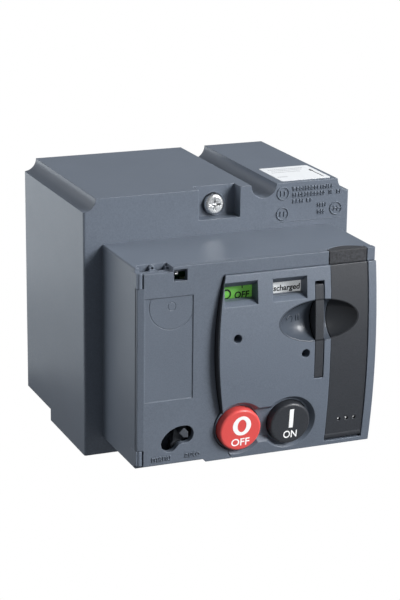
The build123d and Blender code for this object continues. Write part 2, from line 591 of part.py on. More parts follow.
def padlock_tab():
    """Flat tab that is pulled out of its slot to take padlocks."""
    body = prism_x(bulge_profile(0.25, TAB_REAR, *TAB_Z), *TAB_X)
    hole = block(TAB_X[0] - 1, TAB_X[1] + 1, FRONT + 2, FRONT + 9, 6, 27)
    hole = fillet(hole.edges().filter_by(Axis.X), 3.0)
    return body - hole


def push_button(name):
    """Domed head, hollow behind, with a guide stem along the button's tilted axis."""
    r = BUTTONS[name][2]
    depth, stem_rear = 6.4, 17.0
    head = button_plane(name, depth) * Cylinder(r, depth + BUTTON_PROUD, align=FOOT)
    head = fillet(head.edges().sort_by(Axis.Y)[0:1], 0.9)
    head -= button_plane(name, depth + 1) * Cylinder(r - 1.6, depth + BUTTON_PROUD - 0.6, align=FOOT)
    return head + button_plane(name, stem_rear) * Cylinder(2.0, stem_rear + BUTTON_PROUD - 1, align=FOOT)


def button_spring(name):
    start = 12.9
    return coil(button_plane(name, start), 3.3, 0.35, start + BUTTON_PROUD - 1.7, 5)


def coil(plane, r, wire, length, turns):
    """Closed solid of a compression spring that stands on a plane."""
    pitch = (length - 2 * wire) / turns
    path = Helix(pitch, pitch * turns, r)
    section = Plane(origin=path @ 0, z_dir=path % 0) * Circle(wire)
    return plane * (Pos(0, 0, wire) * sweep(section, path=path))


def button_bridge():
    """Plate that guides the stems and seats the springs, with two legs back to the frame."""
    y0, y1 = FRONT + 12.4, FRONT + 14.4
    low, high = -25.2, -9.4
    body = block(-PLATE_X - PLATE_T, PLATE_X + PLATE_T, y0, y1, low, high)
    for side in (-1, 1):
        a, b = sorted((side * PLATE_X, side * (PLATE_X + PLATE_T)))
        body += block(a, b, y0, FRAME_FRONT - 0.02, low, high - 6)
    for name in BUTTONS:
        body -= button_plane(name, 25) * Cylinder(2.0 + 0.25, 30, align=FOOT)
    return body


def mode_selector():
    """Lever on the post behind the door with the peg that shows in the kidney slot."""
    x, z = SELECTOR_AXIS
    peg = polar(SELECTOR_AXIS, SELECTOR_R, SELECTOR_AUTO)
    body = rod_y(x, z, 2.7, SELECTOR_FRONT, SELECTOR_BACK)
    arm = polygon((x - 2.2, z), (peg[0] - 2.4, peg[1] + 1), (peg[0] + 2.4, peg[1] + 1), (x + 2.5, z))
    body += prism_y(arm, SELECTOR_FRONT, SELECTOR_BACK)
    diamond = Pos(peg[0] - 0.3, peg[1] + 0.5) * Rot(0, 0, 45) * Rectangle(2.5, 2.5)
    body += prism_y(diamond, FRONT + 0.5, SELECTOR_BACK)
    foot = Pos(peg[0] + 0.8, peg[1] - 0.9) * Rectangle(1.7, 1.7)
    body += prism_y(foot, FRONT + 1.3, SELECTOR_BACK)
    return body - rod_y(x, z, 1.0 + RUN, SELECTOR_FRONT - 1, SELECTOR_BACK + 1)


def indicator_flag(name):
    """Sector drum on the flag axle with two fields of FLAG_TURN degrees each."""
    x0, x1 = FLAG_SPANS[name]
    y, z = FLAG_AXIS
    rim = rod_x(y, z, FLAG_R, x0, x1) - rod_x(y, z, FLAG_R - 1.0, x0 - 1, x1 + 1)
    reach = 2 * FLAG_R
    start, end = 180 + FLAG_TURN / 2, 180 - FLAG_TURN * 1.5
    corners = [polar(FLAG_AXIS, reach, start + (end - start) * i / 4) for i in range(5)]
    sector = prism_x(polygon(FLAG_AXIS, *corners), x0 - 1, x1 + 1)
    body = rim & sector
    for a in (x0, x1 - 1.2):
        body += rod_x(y, z, FLAG_R, a, a + 1.2) & sector
    body += rod_x(y, z, 2.6, x0, x1)
    return body - rod_x(y, z, 1.5 + RUN, x0 - 1, x1 + 1)


def flag_bracket():
    """Plate on the frame's front edge with three ears for the axle and two bosses for the screws."""
    rear, front = FRAME_FRONT, FRAME_FRONT - 2.0
    body = block(-PLATE_X - PLATE_T, PLATE_X + PLATE_T, front, rear - 0.02, 4.0, 42.2)
    for x0, x1 in FLAG_EARS:
        ear = block(x0, x1, FLAG_AXIS[0] - 2.6, front, FLAG_AXIS[1] - 3.5, FLAG_AXIS[1] + 3.5)
        body += ear - rod_x(*FLAG_AXIS, 1.5, x0 - 1, x1 + 1)
    for x, z in FASCIA_HOLES:
        body += rod_y(x, z, 2.6, FRONT + 12.05, front)
        body -= rod_y(x, z, 1.02, FRONT + 10, rear + 1)
    window = block(-1.5, 15, front - 1, rear + 1, 12.5, 22)
    return body - fillet(window.edges().filter_by(Axis.Y), 2)


def seal_loop():
    """Small bright staple inside the square sealing hole."""
    x, z = SEAL_HOLE[0] + 1.2, SEAL_HOLE[2] + 2.3
    rear = SHELL_FRONT + 1.45
    tongue = block(x - 0.3, x + 0.9, FRONT + 1.6, rear, z - 0.25, z + 0.25)
    return tongue + block(x - 0.8, x + 1.6, rear - 0.7, rear, z - 0.4, z + 0.4)


# ------------------------------------------------------------------ mechanism
def involute(angle):
    return tan(angle) - angle


def gear_face(module, teeth, tooth_at):
    """Involute spur gear with one tooth centred on the direction tooth_at, degrees."""
    r_pitch = module * teeth / 2
    r_tip, r_root = r_pitch + module * 0.95, r_pitch - module * 1.25
    pressure = radians(PRESSURE)
    r_base = r_pitch * cos(pressure)
    half = pi / (2 * teeth) - BACKLASH * module / (2 * r_pitch) + involute(pressure)
    start = max(r_base, r_root)
    radii = [start + (r_tip - start) * i / 4 for i in range(5)]
    flank = [(r, half - involute(acos(min(1, r_base / r)))) for r in radii]
    if r_root < r_base:
        flank.insert(0, (r_root, flank[0][1]))
    points = []
    for i in range(teeth):
        centre = radians(tooth_at) + 2 * pi * i / teeth
        points += [(r * cos(centre - a), r * sin(centre - a)) for r, a in flank]
        points += [(r * cos(centre + a), r * sin(centre + a)) for r, a in reversed(flank)]
    return polygon(*points)


def gear(name, module, centre, tooth_at, x0, x1):
    return prism_x(Pos(*centre) * gear_face(module, TEETH[name], tooth_at), x0, x1)


def pitch_radius(name):
    return TEETH[name] * (MOTOR_MODULE if name in ("idler_large", "motor") else TRAIN_MODULE) / 2


def opposite_gap(name, direction):
    """Direction of a tooth such that a gap faces back along a line of centres."""
    return direction + 180 + 180 / TEETH[name]


# the lever's axis: its rear sector meets the rack, its front sector the shaft pinion
LEVER_Y = RACK_LINE - pitch_radius("lever_rear")
LEVER_REACH = pitch_radius("lever_front") + pitch_radius("shaft_pinion")
LEVER_AXIS = (LEVER_Y, MAIN_AXIS[1] + sqrt(LEVER_REACH ** 2 - (LEVER_Y - MAIN_AXIS[0]) ** 2))
LEVER_SWING = degrees(YOKE_TRAVEL / pitch_radius("lever_rear"))
MAIN_TO_IDLER = pitch_radius("main") + pitch_radius("idler_small")
IDLER_TO_MOTOR = pitch_radius("idler_large") + pitch_radius("motor")
SPAN = distance(MAIN_AXIS, MOTOR_AXIS)
LEAN_COSINE = (MAIN_TO_IDLER ** 2 + SPAN ** 2 - IDLER_TO_MOTOR ** 2) / (2 * MAIN_TO_IDLER * SPAN)
IDLER_LEAN = degrees(acos(LEAN_COSINE))
IDLER_AXIS = polar(MAIN_AXIS, MAIN_TO_IDLER, bearing(MAIN_AXIS, MOTOR_AXIS) - IDLER_LEAN)


def base_plate():
    """Steel plate on the breaker's face, with the toggle window and two flanges for the guide rods."""
    edge = BLOCK_X - WALL - FIT
    body = block(-edge, edge, -2, 0, BOTTOM + STEP_RISE + WALL + FIT, TOP - WALL - FIT)
    for side in (-1, 1):
        body -= rod_y(side * BLOCK_X, TOP, COVE + 2.2 + FIT, -3, 1)
    body -= rod_y(GROOVE_X, TOP, GROOVE_R + 2.2 + FIT, -3, 1)
    inside = PLATE_X - 0.02
    for z0, z1 in (FLANGE_LOW, FLANGE_HIGH):
        body += block(-inside, inside, -33, 0, z0, z1)
    window = block(-11.5, 11.5, -3, 1, -21, 21)
    body -= fillet(window.edges().filter_by(Axis.Y), 2)
    for side in (-1, 1):
        for y in (TOGGLE_ROD_Y, YOKE_ROD_Y):
            body -= rod_z(side * ROD_X, y, ROD_R, FLANGE_LOW[0] - 1, FLANGE_HIGH[1] + 1)
    for x, z in (TOP_SCREW, *LOWER_SCREWS):
        body -= rod_y(x, z, 2.2, -3, 1)
    for x in (-40.0, 40.0):
        body -= rod_y(x, 30.0, BASE_HOLE_R, -3, 1)
    return body


def side_plate(side):
    """Steel frame plate; side is -1 for the left one and 1 for the right one."""
    low_z, high_z, step_y = -26.0, 53.0, -65.5
    outline = polygon((FRAME_FRONT, -20), (FRAME_FRONT, 37.5), (step_y, 37.5), (step_y, high_z),
                      (-2.02, high_z), (-2.02, low_z), (step_y + 2, low_z), (step_y, -20))
    x0, x1 = sorted((side * PLATE_X, side * (PLATE_X + PLATE_T)))
    body = prism_x(outline, x0, x1)
    body = fillet(body.edges().filter_by(Axis.X), 1.5)
    body -= rod_x(*MAIN_AXIS, BUSH_R, x0 - 1, x1 + 1)
    body -= rod_x(*LEVER_AXIS, 3.0, x0 - 1, x1 + 1)
    for spot in SPACERS:
        body -= rod_x(*spot, 1.6, x0 - 1, x1 + 1)
    if side < 0:
        body -= rod_x(*IDLER_AXIS, 2.5, x0 - 1, x1 + 1)
        body -= rod_x(*MOTOR_AXIS, 4.0, x0 - 1, x1 + 1)
        for dy in (-8.0, 8.0):
            body -= rod_x(MOTOR_AXIS[0] + dy, MOTOR_AXIS[1], 1.3, x0 - 1, x1 + 1)
    else:
        body -= rod_x(-45, 28, 9, x0 - 1, x1 + 1)
        body -= rod_x(*holding_pawl_points()[0], 0.77, x0 - 1, x1 + 1)
    body -= rod_x(-20, -8, 6, x0 - 1, x1 + 1)
    return body - rod_x(-18, 24, 7, x0 - 1, x1 + 1)


def spacer_posts():
    """Three posts between the plates, riveted over outside them."""
    posts = Part()
    for spot in SPACERS:
        post = rod_x(*spot, 3.0, -PLATE_X + 0.02, PLATE_X - 0.02)
        posts += post + rod_x(*spot, 1.58, -PLATE_X - PLATE_T - 0.5, PLATE_X + PLATE_T + 0.5)
    return posts


def shaft_bushes():
    """Flanged bronze bushes of the main shaft."""
    bushes = Part()
    for side in (-1, 1):
        a, b = sorted((side * (PLATE_X - 1.2), side * (PLATE_X + PLATE_T)))
        flange_a, flange_b = sorted((side * (PLATE_X - 1.2), side * (PLATE_X - 0.02)))
        bush = rod_x(*MAIN_AXIS, BUSH_R - 0.02, a, b) + rod_x(*MAIN_AXIS, BUSH_R + 1.5, flange_a, flange_b)
        bushes += bush - rod_x(*MAIN_AXIS, SHAFT_R + RUN, a - 1, b + 1)
    return bushes


def motor_can():
    """Round motor between the plates, with a stepped rear cap and a front boss in the right plate."""
    y, z = MOTOR_AXIS
    front, rear = MOTOR_X
    body = rod_x(y, z, MOTOR_R, front, rear)
    body = chamfer(body.edges().filter_by(GeomType.CIRCLE), 0.6)
    body += rod_x(y, z, 4.2, rear, rear + 2.4) + rod_x(y, z, 3.9, front - 1.6, front)
    for dz in (-6.5, 6.5):
        body += block(rear, rear + 3.0, y - 1.6, y + 1.6, z + dz - 0.4, z + dz + 0.4)
    body -= rod_x(y, z, 1.0 + RUN, front - 3, front + 12)
    for dy in (-8.0, 8.0):
        body -= rod_x(y + dy, z, 1.02, front - 1, front + 5)
    return body


def motor_screws():
    screws = Part()
    for dy in (-8.0, 8.0):
        y, z = MOTOR_AXIS[0] + dy, MOTOR_AXIS[1]
        outside = -PLATE_X - PLATE_T - 0.02
        screws += rod_x(y, z, 1.9, outside - 1.2, outside)
        screws += rod_x(y, z, 1.0, outside - 0.1, MOTOR_X[0] + 4.8)
    return screws


def motor_pinion():
    tooth_at = opposite_gap("motor", bearing(IDLER_AXIS, MOTOR_AXIS))
    body = gear("motor", MOTOR_MODULE, MOTOR_AXIS, tooth_at, LARGE_X[0] - 0.6, LARGE_X[1] + 0.6)
    return body + rod_x(*MOTOR_AXIS, 1.0, LARGE_X[0], MOTOR_X[0] + 11)


def idler_gear():
    small_at = opposite_gap("idler_small", bearing(MAIN_AXIS, IDLER_AXIS))
    body = gear("idler_small", TRAIN_MODULE, IDLER_AXIS, small_at, LARGE_X[1] - 0.1, MAIN_X[1] + 0.3)
    body += gear("idler_large", MOTOR_MODULE, IDLER_AXIS, bearing(IDLER_AXIS, MOTOR_AXIS), *LARGE_X)
    for i in range(5):
        body -= rod_x(*polar(IDLER_AXIS, 14.5, 72 * i), 4.2, LARGE_X[0] - 1, LARGE_X[1] + 1)
    return body - rod_x(*IDLER_AXIS, 2.5 + RUN, LARGE_X[0] - 1, MAIN_X[1] + 2)


def idler_shaft():
    outer, inner = LARGE_X[0] - 1.4, -PLATE_X + 1.2
    body = rod_x(*IDLER_AXIS, 2.48, outer, inner) + rod_x(*IDLER_AXIS, 3.6, outer, outer + 1.0)
    return body + rod_x(*IDLER_AXIS, 3.6, -PLATE_X + 0.02, inner)


def main_shaft():
    """Main shaft with the pinion that drives the lever's front sector, and its collars."""
    body = rod_x(*MAIN_AXIS, SHAFT_R, MAIN_X[0] - 0.7, RATCHET_X[1] + 1.4)
    pinion_at = opposite_gap("shaft_pinion", bearing(LEVER_AXIS, MAIN_AXIS))
    body += gear("shaft_pinion", TRAIN_MODULE, MAIN_AXIS, pinion_at, SECTOR_X[0] - 0.5, SECTOR_X[1] + 0.5)
    return body


def main_gear():
    tooth_at = bearing(MAIN_AXIS, IDLER_AXIS)
    body = gear("main", TRAIN_MODULE, MAIN_AXIS, tooth_at, *MAIN_X)
    body += rod_x(*MAIN_AXIS, 7.0, MAIN_X[0] - 0.5, MAIN_X[1] + 0.6)
    for i in range(6):
        body -= rod_x(*polar(MAIN_AXIS, 10.4, 60 * i), 2.2, MAIN_X[0] - 1, MAIN_X[1] + 1)
    return body - rod_x(*MAIN_AXIS, SHAFT_R + 0.02, MAIN_X[0] - 4, MAIN_X[1] + 2)


def ratchet_wheel():
    """Saw-toothed wheel; the handle's pawl pushes its steep faces up at the front."""
    points = []
    for i in range(RATCHET_TEETH):
        angle = 360 * i / RATCHET_TEETH
        points.append(polar(MAIN_AXIS, RATCHET_R, angle))
        points.append(polar(MAIN_AXIS, RATCHET_R - 1.6, angle + 2))
    body = prism_x(polygon(*points), *RATCHET_X)
    body += rod_x(*MAIN_AXIS, 6.5, RATCHET_X[0] - 1.2, RATCHET_X[1] + 0.6)
    return body - rod_x(*MAIN_AXIS, SHAFT_R + 0.02, RATCHET_X[0] - 2, RATCHET_X[1] + 2)


def sector(name, tooth_at, start, end, reach):
    """Part of a gear between two directions, cut from its centre."""
    steps = 4
    corners = [polar(LEVER_AXIS, reach * 1.6, start + (end - start) * i / steps) for i in range(steps + 1)]
    wedge = prism_x(polygon(LEVER_AXIS, *corners), SECTOR_X[0] - 1, SECTOR_X[1] + 1)
    return gear(name, TRAIN_MODULE, LEVER_AXIS, tooth_at, *SECTOR_X) & wedge


def charging_lever():
    """Rocking lever: its front sector takes the main shaft's pinion, its rear sector lifts the rack."""
    margin = 11.0
    to_shaft = bearing(LEVER_AXIS, MAIN_AXIS)
    front = sector("lever_front", to_shaft, to_shaft - LEVER_SWING - margin, to_shaft + margin, 20)
    rear = sector("lever_rear", 0.0, -LEVER_SWING - margin, margin, 24)
    body = front + rear + rod_x(*LEVER_AXIS, 6.0, -9, 9)
    for angle, r in ((-LEVER_SWING / 2, 13.0), (to_shaft - LEVER_SWING / 2, 11.5)):
        body -= rod_x(*polar(LEVER_AXIS, r, angle), 3.4, -10, 10)
    return body - rod_x(*LEVER_AXIS, 3.0 + RUN, -10, 10)


def lever_shaft():
    body = rod_x(*LEVER_AXIS, 2.98, -PLATE_X - PLATE_T - 0.8, PLATE_X + PLATE_T + 0.8)
    for side in (-1, 1):
        a, b = sorted((side * 9.4, side * (PLATE_X - 0.1)))
        body += rod_x(*LEVER_AXIS, 4.2, a, b)
    return body


def spring_yoke():
    """Slide on the front guide rods with the toothed rack that the lever lifts."""
    z0, z1 = YOKE_Z
    body = block(-21, 21, -28.4, -21.6, z0, z1)
    body = fillet(body.edges().filter_by(Axis.Y), 1.0)
    low, high = LEVER_AXIS[1] - YOKE_TRAVEL - 6.5, LEVER_AXIS[1] + 6.5
    module, root = TRAIN_MODULE, RACK_LINE + 1.25 * TRAIN_MODULE
    body += block(-RACK_X, RACK_X, root - 0.01, -23.6, low, high)
    slope = tan(radians(PRESSURE))
    pitch = pi * module
    crest = RACK_LINE - 0.95 * module
    for i in range(-9, 3):
        z = LEVER_AXIS[1] + (i + 0.5) * pitch
        foot = pitch / 4 - BACKLASH * module / 2 + 1.25 * module * slope
        tip = pitch / 4 - BACKLASH * module / 2 - 0.95 * module * slope
        tooth = polygon((root, z - foot), (root, z + foot), (crest, z + tip), (crest, z - tip))
        if low < z - foot and z + foot < high:
            body += prism_x(tooth, -RACK_X, RACK_X)
    for side in (-1, 1):
        body -= rod_z(side * ROD_X, YOKE_ROD_Y, ROD_R + RUN, z0 - 1, z1 + 1)
    return body


def toggle_carriage():
    """Slide on the rear guide rods; its fork takes the breaker's toggle."""
    z0, z1 = CARRIAGE_Z
    body = block(-21, 21, -17, -4.6, z0, z1)
    body = fillet(body.edges().filter_by(Axis.Y), 1.2)
    fork = block(-9, 9, -20, 0, z0 + 3.0, z1 - 3.0)
    body -= fillet(fork.edges().filter_by(Axis.Y), 1.0)
    for side in (-1, 1):
        body -= rod_z(side * ROD_X, TOGGLE_ROD_Y, ROD_R + RUN, z0 - 1, z1 + 1)
    return body


def guide_rods():
    """Front pair for the yoke and rear pair for the toggle carriage."""
    rods = Part()
    for side in (-1, 1):
        for y in (YOKE_ROD_Y, TOGGLE_ROD_Y):
            rods += rod_z(side * ROD_X, y, ROD_R - 0.02, FLANGE_LOW[0], FLANGE_HIGH[1])
    return rods


def closing_springs():
    """Two springs on the yoke's rods, pressed together against the upper flange as it is charged."""
    springs = Part()
    seat = Plane.XY.offset(YOKE_Z[1] + 0.05)
    length = FLANGE_HIGH[0] - YOKE_Z[1] - 0.1
    for side in (-1, 1):
        springs += Pos(side * ROD_X, YOKE_ROD_Y, 0) * coil(seat, 3.2, 0.5, length, 10)
    return springs


def close_latch():
    """Prop that swings in under the yoke once it is charged, shown released."""
    y, z = LATCH_AXIS
    head_z = YOKE_Z[0] + YOKE_TRAVEL - 0.6
    outline = polygon((y - 2.2, z), (y + 2.2, z), (y + 1.6, head_z - 6), (y + 4.6, head_z - 2.6),
                      (y + 4.6, head_z), (y + 0.4, head_z), (y - 1.8, head_z - 6))
    body = prism_x(outline, *LATCH_X) + rod_x(y, z, 3.2, *LATCH_X)
    return body - rod_x(y, z, 1.5 + RUN, LATCH_X[0] - 1, LATCH_X[1] + 1)


def latch_pin():
    return rod_x(*LATCH_AXIS, 1.5, -PLATE_X + 0.05, PLATE_X - 0.05)


# ------------------------------------------------------------------ fixings, switches and wiring
def captive_screw(x, z, head_front, tip, head_r):
    """Cross-recessed pan-head screw along Y."""
    head = rod_y(x, z, head_r, head_front, head_front + 2.6)
    head = fillet(head.edges().filter_by(GeomType.CIRCLE).sort_by(Axis.Y)[0:1], 1.0)
    screw = head + rod_y(x, z, 2.0, head_front + 2.5, tip)
    for a, b in ((2.2, 0.45), (0.45, 2.2)):
        screw -= block(x - a, x + a, head_front - 1, head_front + 1.5, z - b, z + b)
    return screw


def lower_screws():
    screws = Part()
    for x, z in LOWER_SCREWS:
        screws += captive_screw(x, z, -4.65, SCREW_TIP, 3.6)
    return screws


def case_screws():
    """Four screws from inside the nose's flange into the rear block's bosses."""
    screws = Part()
    for x, z in CASE_SCREWS:
        seat = BLOCK_FRONT - WALL
        screw = rod_y(x, z, 1.36, seat - 0.2, BLOCK_FRONT + 7) + rod_y(x, z, 2.6, seat - 1.8, seat - 0.02)
        screws += screw - block(x - 1.6, x + 1.6, seat - 3, seat - 0.9, z - 0.35, z + 0.35)
    return screws


def fascia_screws():
    screws = Part()
    for x, z in FASCIA_HOLES:
        screw = rod_y(x, z, 1.5, FRONT + 8.0, FRONT + 9.48) + rod_y(x, z, 1.0, FRONT + 9, FRAME_FRONT + 1.5)
        screws += screw - block(x - 1.0, x + 1.0, FRONT + 7, FRONT + 8.6, z - 0.25, z + 0.25)
    return screws


def terminal_spots():
    x0, x1, _, z0, z1 = TERMINALS
    pitch = (z1 - z0) / TERMINAL_COUNT
    return [((x0 + x1) / 2 + 2.0, z0 + pitch * (i + 0.5)) for i in range(TERMINAL_COUNT)]


def control_board():
    """Printed board with its relay, capacitor and two small parts."""
    x0, x1, y0, y1, z0, z1 = BOARD
    body = block(x0, x1, y0, y1, z0, z1)
    body += rod_y(-22.6, 2.0, 2.8, y0 - 9, y0)
    body += block(-25.4, -20.2, y0 - 4.5, y0, 10.0, 22.0)
    return body + block(-24.8, -20.6, y0 - 2.2, y0, 26.0, 33.0)


def terminal_block():
    """Eight-way terminal block: a screw well and a wire funnel for each way."""
    x0, x1, y0, z0, z1 = TERMINALS
    rear = BOARD[2] - 0.02
    body = block(x0, x1, y0, rear, z0, z1) - block(x0 - 1, x0 + 5.4, y0 - 1, y0 + 3.4, z0 - 1, z1 + 1)
    for x, z in terminal_spots():
        body -= rod_y(x, z, 1.9, y0 - 1, y0 + 4.5)
        body -= rod_y(x, z, 1.02, y0, y0 + 8)
        funnel = block(x0 - 1, x0 + 6, y0 + 5.0, y0 + 7.8, z - 1.5, z + 1.5)
        body -= funnel
    return body


def terminal_screws():
    screws = Part()
    y0 = TERMINALS[2]
    for x, z in terminal_spots():
        screw = rod_y(x, z, 1.7, y0 + 2.6, y0 + 4.48) + rod_y(x, z, 1.0, y0 + 4, y0 + 7.5)
        screws += screw - block(x - 1.2, x + 1.2, y0 + 2, y0 + 3.4, z - 0.25, z + 0.25)
    return screws


def micro_switch(x0, x1, y0, y1, z0, z1):
    """Snap switch with two mounting holes and three tags behind."""
    body = block(x0, x1, y0, y1, z0, z1)
    middle = (y0 + y1) / 2
    for z in (z0 + 2.2, z1 - 2.2):
        body -= rod_x(middle, z, 0.9, x0 - 1, x1 + 1)
    for i in range(3):
        z = z0 + (z1 - z0) * (i + 0.5) / 3
        body += block((x0 + x1) / 2 - 0.25, (x0 + x1) / 2 + 0.25, y1, y1 + 3.0, z - 0.8, z + 0.8)
    return body


def button_switches():
    """Two snap switches behind the bridge, between the buttons' stems."""
    front = FRONT + 14.42
    rear = front + 5.6
    left = micro_switch(-3.3, 2.5, front, rear, -24.6, -12.0)
    return left + micro_switch(3.5, 9.3, front, rear, -24.6, -12.0)


def selector_screw():
    x, z = SELECTOR_AXIS
    seat = SELECTOR_FRONT - 0.3
    return rod_y(x, z, 1.0, seat - 1.0, POST_REAR - 0.4) + rod_y(x, z, 1.8, seat - 1.0, seat)


def holding_pawl_points():
    pivot = (-56.0, 8.0)
    tip = polar(MAIN_AXIS, RATCHET_R + 0.5, bearing(MAIN_AXIS, pivot) - 32)
    return pivot, tip


def charging_pawl_points():
    y, z = HANDLE_PIVOT
    return (y + 14.0, z + 2.4), polar(HANDLE_PIVOT, 23.5, 26.5)


def main():
    save(rear_housing(), "rear_housing")
    save(front_housing(), "front_housing")
    save(front_fascia(), "front_fascia")
    save(crescent_trim(), "crescent_trim")
    save(terminal_door(), "terminal_door")
    save(rod_z(*DOOR_AXIS, 0.58, HINGE_LUGS[1][0] + 0.9, HINGE_LUGS[0][1] - 0.9), "door_hinge_pin")
    save(seal_loop(), "seal_loop")
    save(top_label(), "top_label")
    for name in WINDOWS:
        save(window_pane(name), f"{name}_window")
        save(indicator_flag(name), f"{name}_flag")
    save(flag_bracket(), "flag_bracket")
    save(rod_x(*FLAG_AXIS, 1.48, FLAG_EARS[0][0] - 0.8, FLAG_EARS[-1][1] + 0.4), "flag_axle")

    save(charging_handle(), "charging_handle")
    save(handle_grip(), "handle_grip")
    save(rod_x(*HANDLE_PIVOT, HANDLE_PIN_R - 0.02, RIB_X[0] - 0.9, NOSE_X - 1.1), "handle_pin")
    eye, tip = charging_pawl_points()
    save(pawl(eye, tip, 2.0, 1.7, 35.1, 36.9), "charging_pawl")
    save(rod_x(*eye, 0.73, 33.7, 38.3), "charging_pawl_pin")
    save(padlock_tab(), "padlock_tab")
    for name in BUTTONS:
        save(push_button(name), f"{name}_button")
        save(button_spring(name), f"{name}_spring")
    save(button_bridge(), "button_bridge")
    save(button_switches(), "button_switches")
    save(mode_selector(), "mode_selector")
    save(selector_screw(), "selector_screw")
    save(micro_switch(*MODE_SWITCH), "mode_switch")

    save(base_plate(), "base_plate")
    save(side_plate(-1), "side_plate_left")
    save(side_plate(1), "side_plate_right")
    save(spacer_posts(), "spacer_posts")
    save(shaft_bushes(), "shaft_bushes")
    save(motor_can(), "motor")
    save(motor_screws(), "motor_screws")
    save(motor_pinion(), "motor_pinion")
    save(idler_gear(), "idler_gear")
    save(idler_shaft(), "idler_shaft")
    save(main_gear(), "main_gear")
    save(main_shaft(), "main_shaft")
    save(ratchet_wheel(), "ratchet_wheel")
    eye, tip = holding_pawl_points()
    save(pawl(eye, tip, 2.4, 2.0, RATCHET_X[0] + 0.1, RATCHET_X[1] - 0.1), "holding_pawl")
    save(rod_x(*eye, 0.75, PLATE_X + 0.5, RATCHET_X[1] + 1.2), "holding_pawl_pin")
    save(charging_lever(), "charging_lever")
    save(lever_shaft(), "lever_shaft")
    save(spring_yoke(), "spring_yoke")
    save(toggle_carriage(), "toggle_carriage")
    save(guide_rods(), "guide_rods")
    save(closing_springs(), "closing_springs")
    save(close_latch(), "close_latch")
    save(latch_pin(), "latch_pin")

    save(control_board(), "control_board")
    save(terminal_block(), "terminal_block")
    save(terminal_screws(), "terminal_screws")
    save(captive_screw(*TOP_SCREW, BLOCK_FRONT + 3.5, SCREW_TIP, 3.8), "top_screw")
    save(lower_screws(), "lower_screws")
    save(case_screws(), "case_screws")
    save(fascia_screws(), "fascia_screws")


main()
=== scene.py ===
"""Looks of the motor operator: grained mouldings, printed and raised marks, and the metal inside."""
import json
import math

import bmesh
import bpy
from mathutils import Matrix, Vector


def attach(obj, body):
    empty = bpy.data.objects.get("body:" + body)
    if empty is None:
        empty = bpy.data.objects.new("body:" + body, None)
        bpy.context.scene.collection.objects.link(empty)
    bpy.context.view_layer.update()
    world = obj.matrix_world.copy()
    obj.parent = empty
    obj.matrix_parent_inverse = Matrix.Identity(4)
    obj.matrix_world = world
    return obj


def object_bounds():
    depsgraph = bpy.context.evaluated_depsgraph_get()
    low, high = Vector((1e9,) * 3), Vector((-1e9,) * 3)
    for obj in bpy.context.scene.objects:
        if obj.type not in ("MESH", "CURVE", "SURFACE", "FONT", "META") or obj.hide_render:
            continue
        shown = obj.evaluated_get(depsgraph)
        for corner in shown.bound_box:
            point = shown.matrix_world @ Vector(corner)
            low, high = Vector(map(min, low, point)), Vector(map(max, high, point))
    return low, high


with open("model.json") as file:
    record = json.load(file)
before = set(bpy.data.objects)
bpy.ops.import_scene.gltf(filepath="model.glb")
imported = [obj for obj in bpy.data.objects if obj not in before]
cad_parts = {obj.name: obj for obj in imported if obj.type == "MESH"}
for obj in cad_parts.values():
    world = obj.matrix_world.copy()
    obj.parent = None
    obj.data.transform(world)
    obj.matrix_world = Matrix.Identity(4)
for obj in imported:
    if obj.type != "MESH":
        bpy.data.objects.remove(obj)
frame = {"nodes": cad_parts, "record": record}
CAD_LOW, CAD_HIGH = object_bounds()

MM = 0.001

# camera: its place in metres, its turn in degrees, and its focal length in heights of the picture
CAMERA_PLACE = (-0.2653, -0.69259, 0.2247)
CAMERA_AZIMUTH = -22.51
CAMERA_ELEVATION = 16.83
CAMERA_ROLL = 0.70
CAMERA_FOCAL_LENGTH = 3.1825
SENSOR_WIDTH = 36

# square area lights: name, place in metres, side in metres, watts
LIGHTS = (
    ("key", (0.85, -1.05, 0.75), 0.6, 31),
    ("low_fill", (0.9, -1.2, 0.25), 0.8, 3),
    ("left_box", (-0.75, 0.42, 0.5), 0.55, 4.6),
    ("right_box", (0.7, -0.3, 0.9), 0.6, 4.6),
)

# bounce cards: near and far radius in metres, strength
BOUNCE_CARDS = ((0.10, 0.22, 0.97), (0.22, 0.5, 1.9), (0.5, 6.0, 2.8))
BOUNCE_COLOUR = (0.90, 0.96, 1.0)
BOUNCE_START = 20          # degrees, from +X towards +Y
BOUNCE_SWEEP = 190
BOUNCE_STEPS = 24
BOUNCE_CENTRE_Y = 0.05     # metres in front of the origin

SKY_COLOUR = (0.93, 0.96, 1.0)
SKY_STRENGTH = 0.26
FLOOR_SIZE = 40


# ------------------------------------------------------------------ camera, light and floor
def add_camera():
    """From above the left front corner, through a long lens."""
    azimuth = math.radians(CAMERA_AZIMUTH)
    elevation = math.radians(CAMERA_ELEVATION)
    roll = math.radians(CAMERA_ROLL)
    data = bpy.data.cameras.new("camera")
    data.sensor_width = SENSOR_WIDTH
    data.lens = SENSOR_WIDTH * CAMERA_FOCAL_LENGTH
    data.clip_start = 0.05
    data.clip_end = 50
    camera = bpy.data.objects.new("camera", data)
    bpy.context.scene.collection.objects.link(camera)
    turn = Matrix.Rotation(azimuth, 4, "Z") @ Matrix.Rotation(math.pi / 2 - elevation, 4, "X")
    camera.matrix_world = Matrix.Translation(CAMERA_PLACE) @ turn @ Matrix.Rotation(roll, 4, "Z")
    bpy.context.scene.camera = camera


def add_area_light(name, place, target, side, watts):
    data = bpy.data.lights.new(name, "AREA")
    data.shape = "RECTANGLE"
    data.size = side
    data.size_y = side
    data.energy = watts
    light = bpy.data.objects.new(name, data)
    bpy.context.scene.collection.objects.link(light)
    light.location = place
    light.rotation_euler = (Vector(target) - Vector(place)).to_track_quat("-Z", "Y").to_euler()


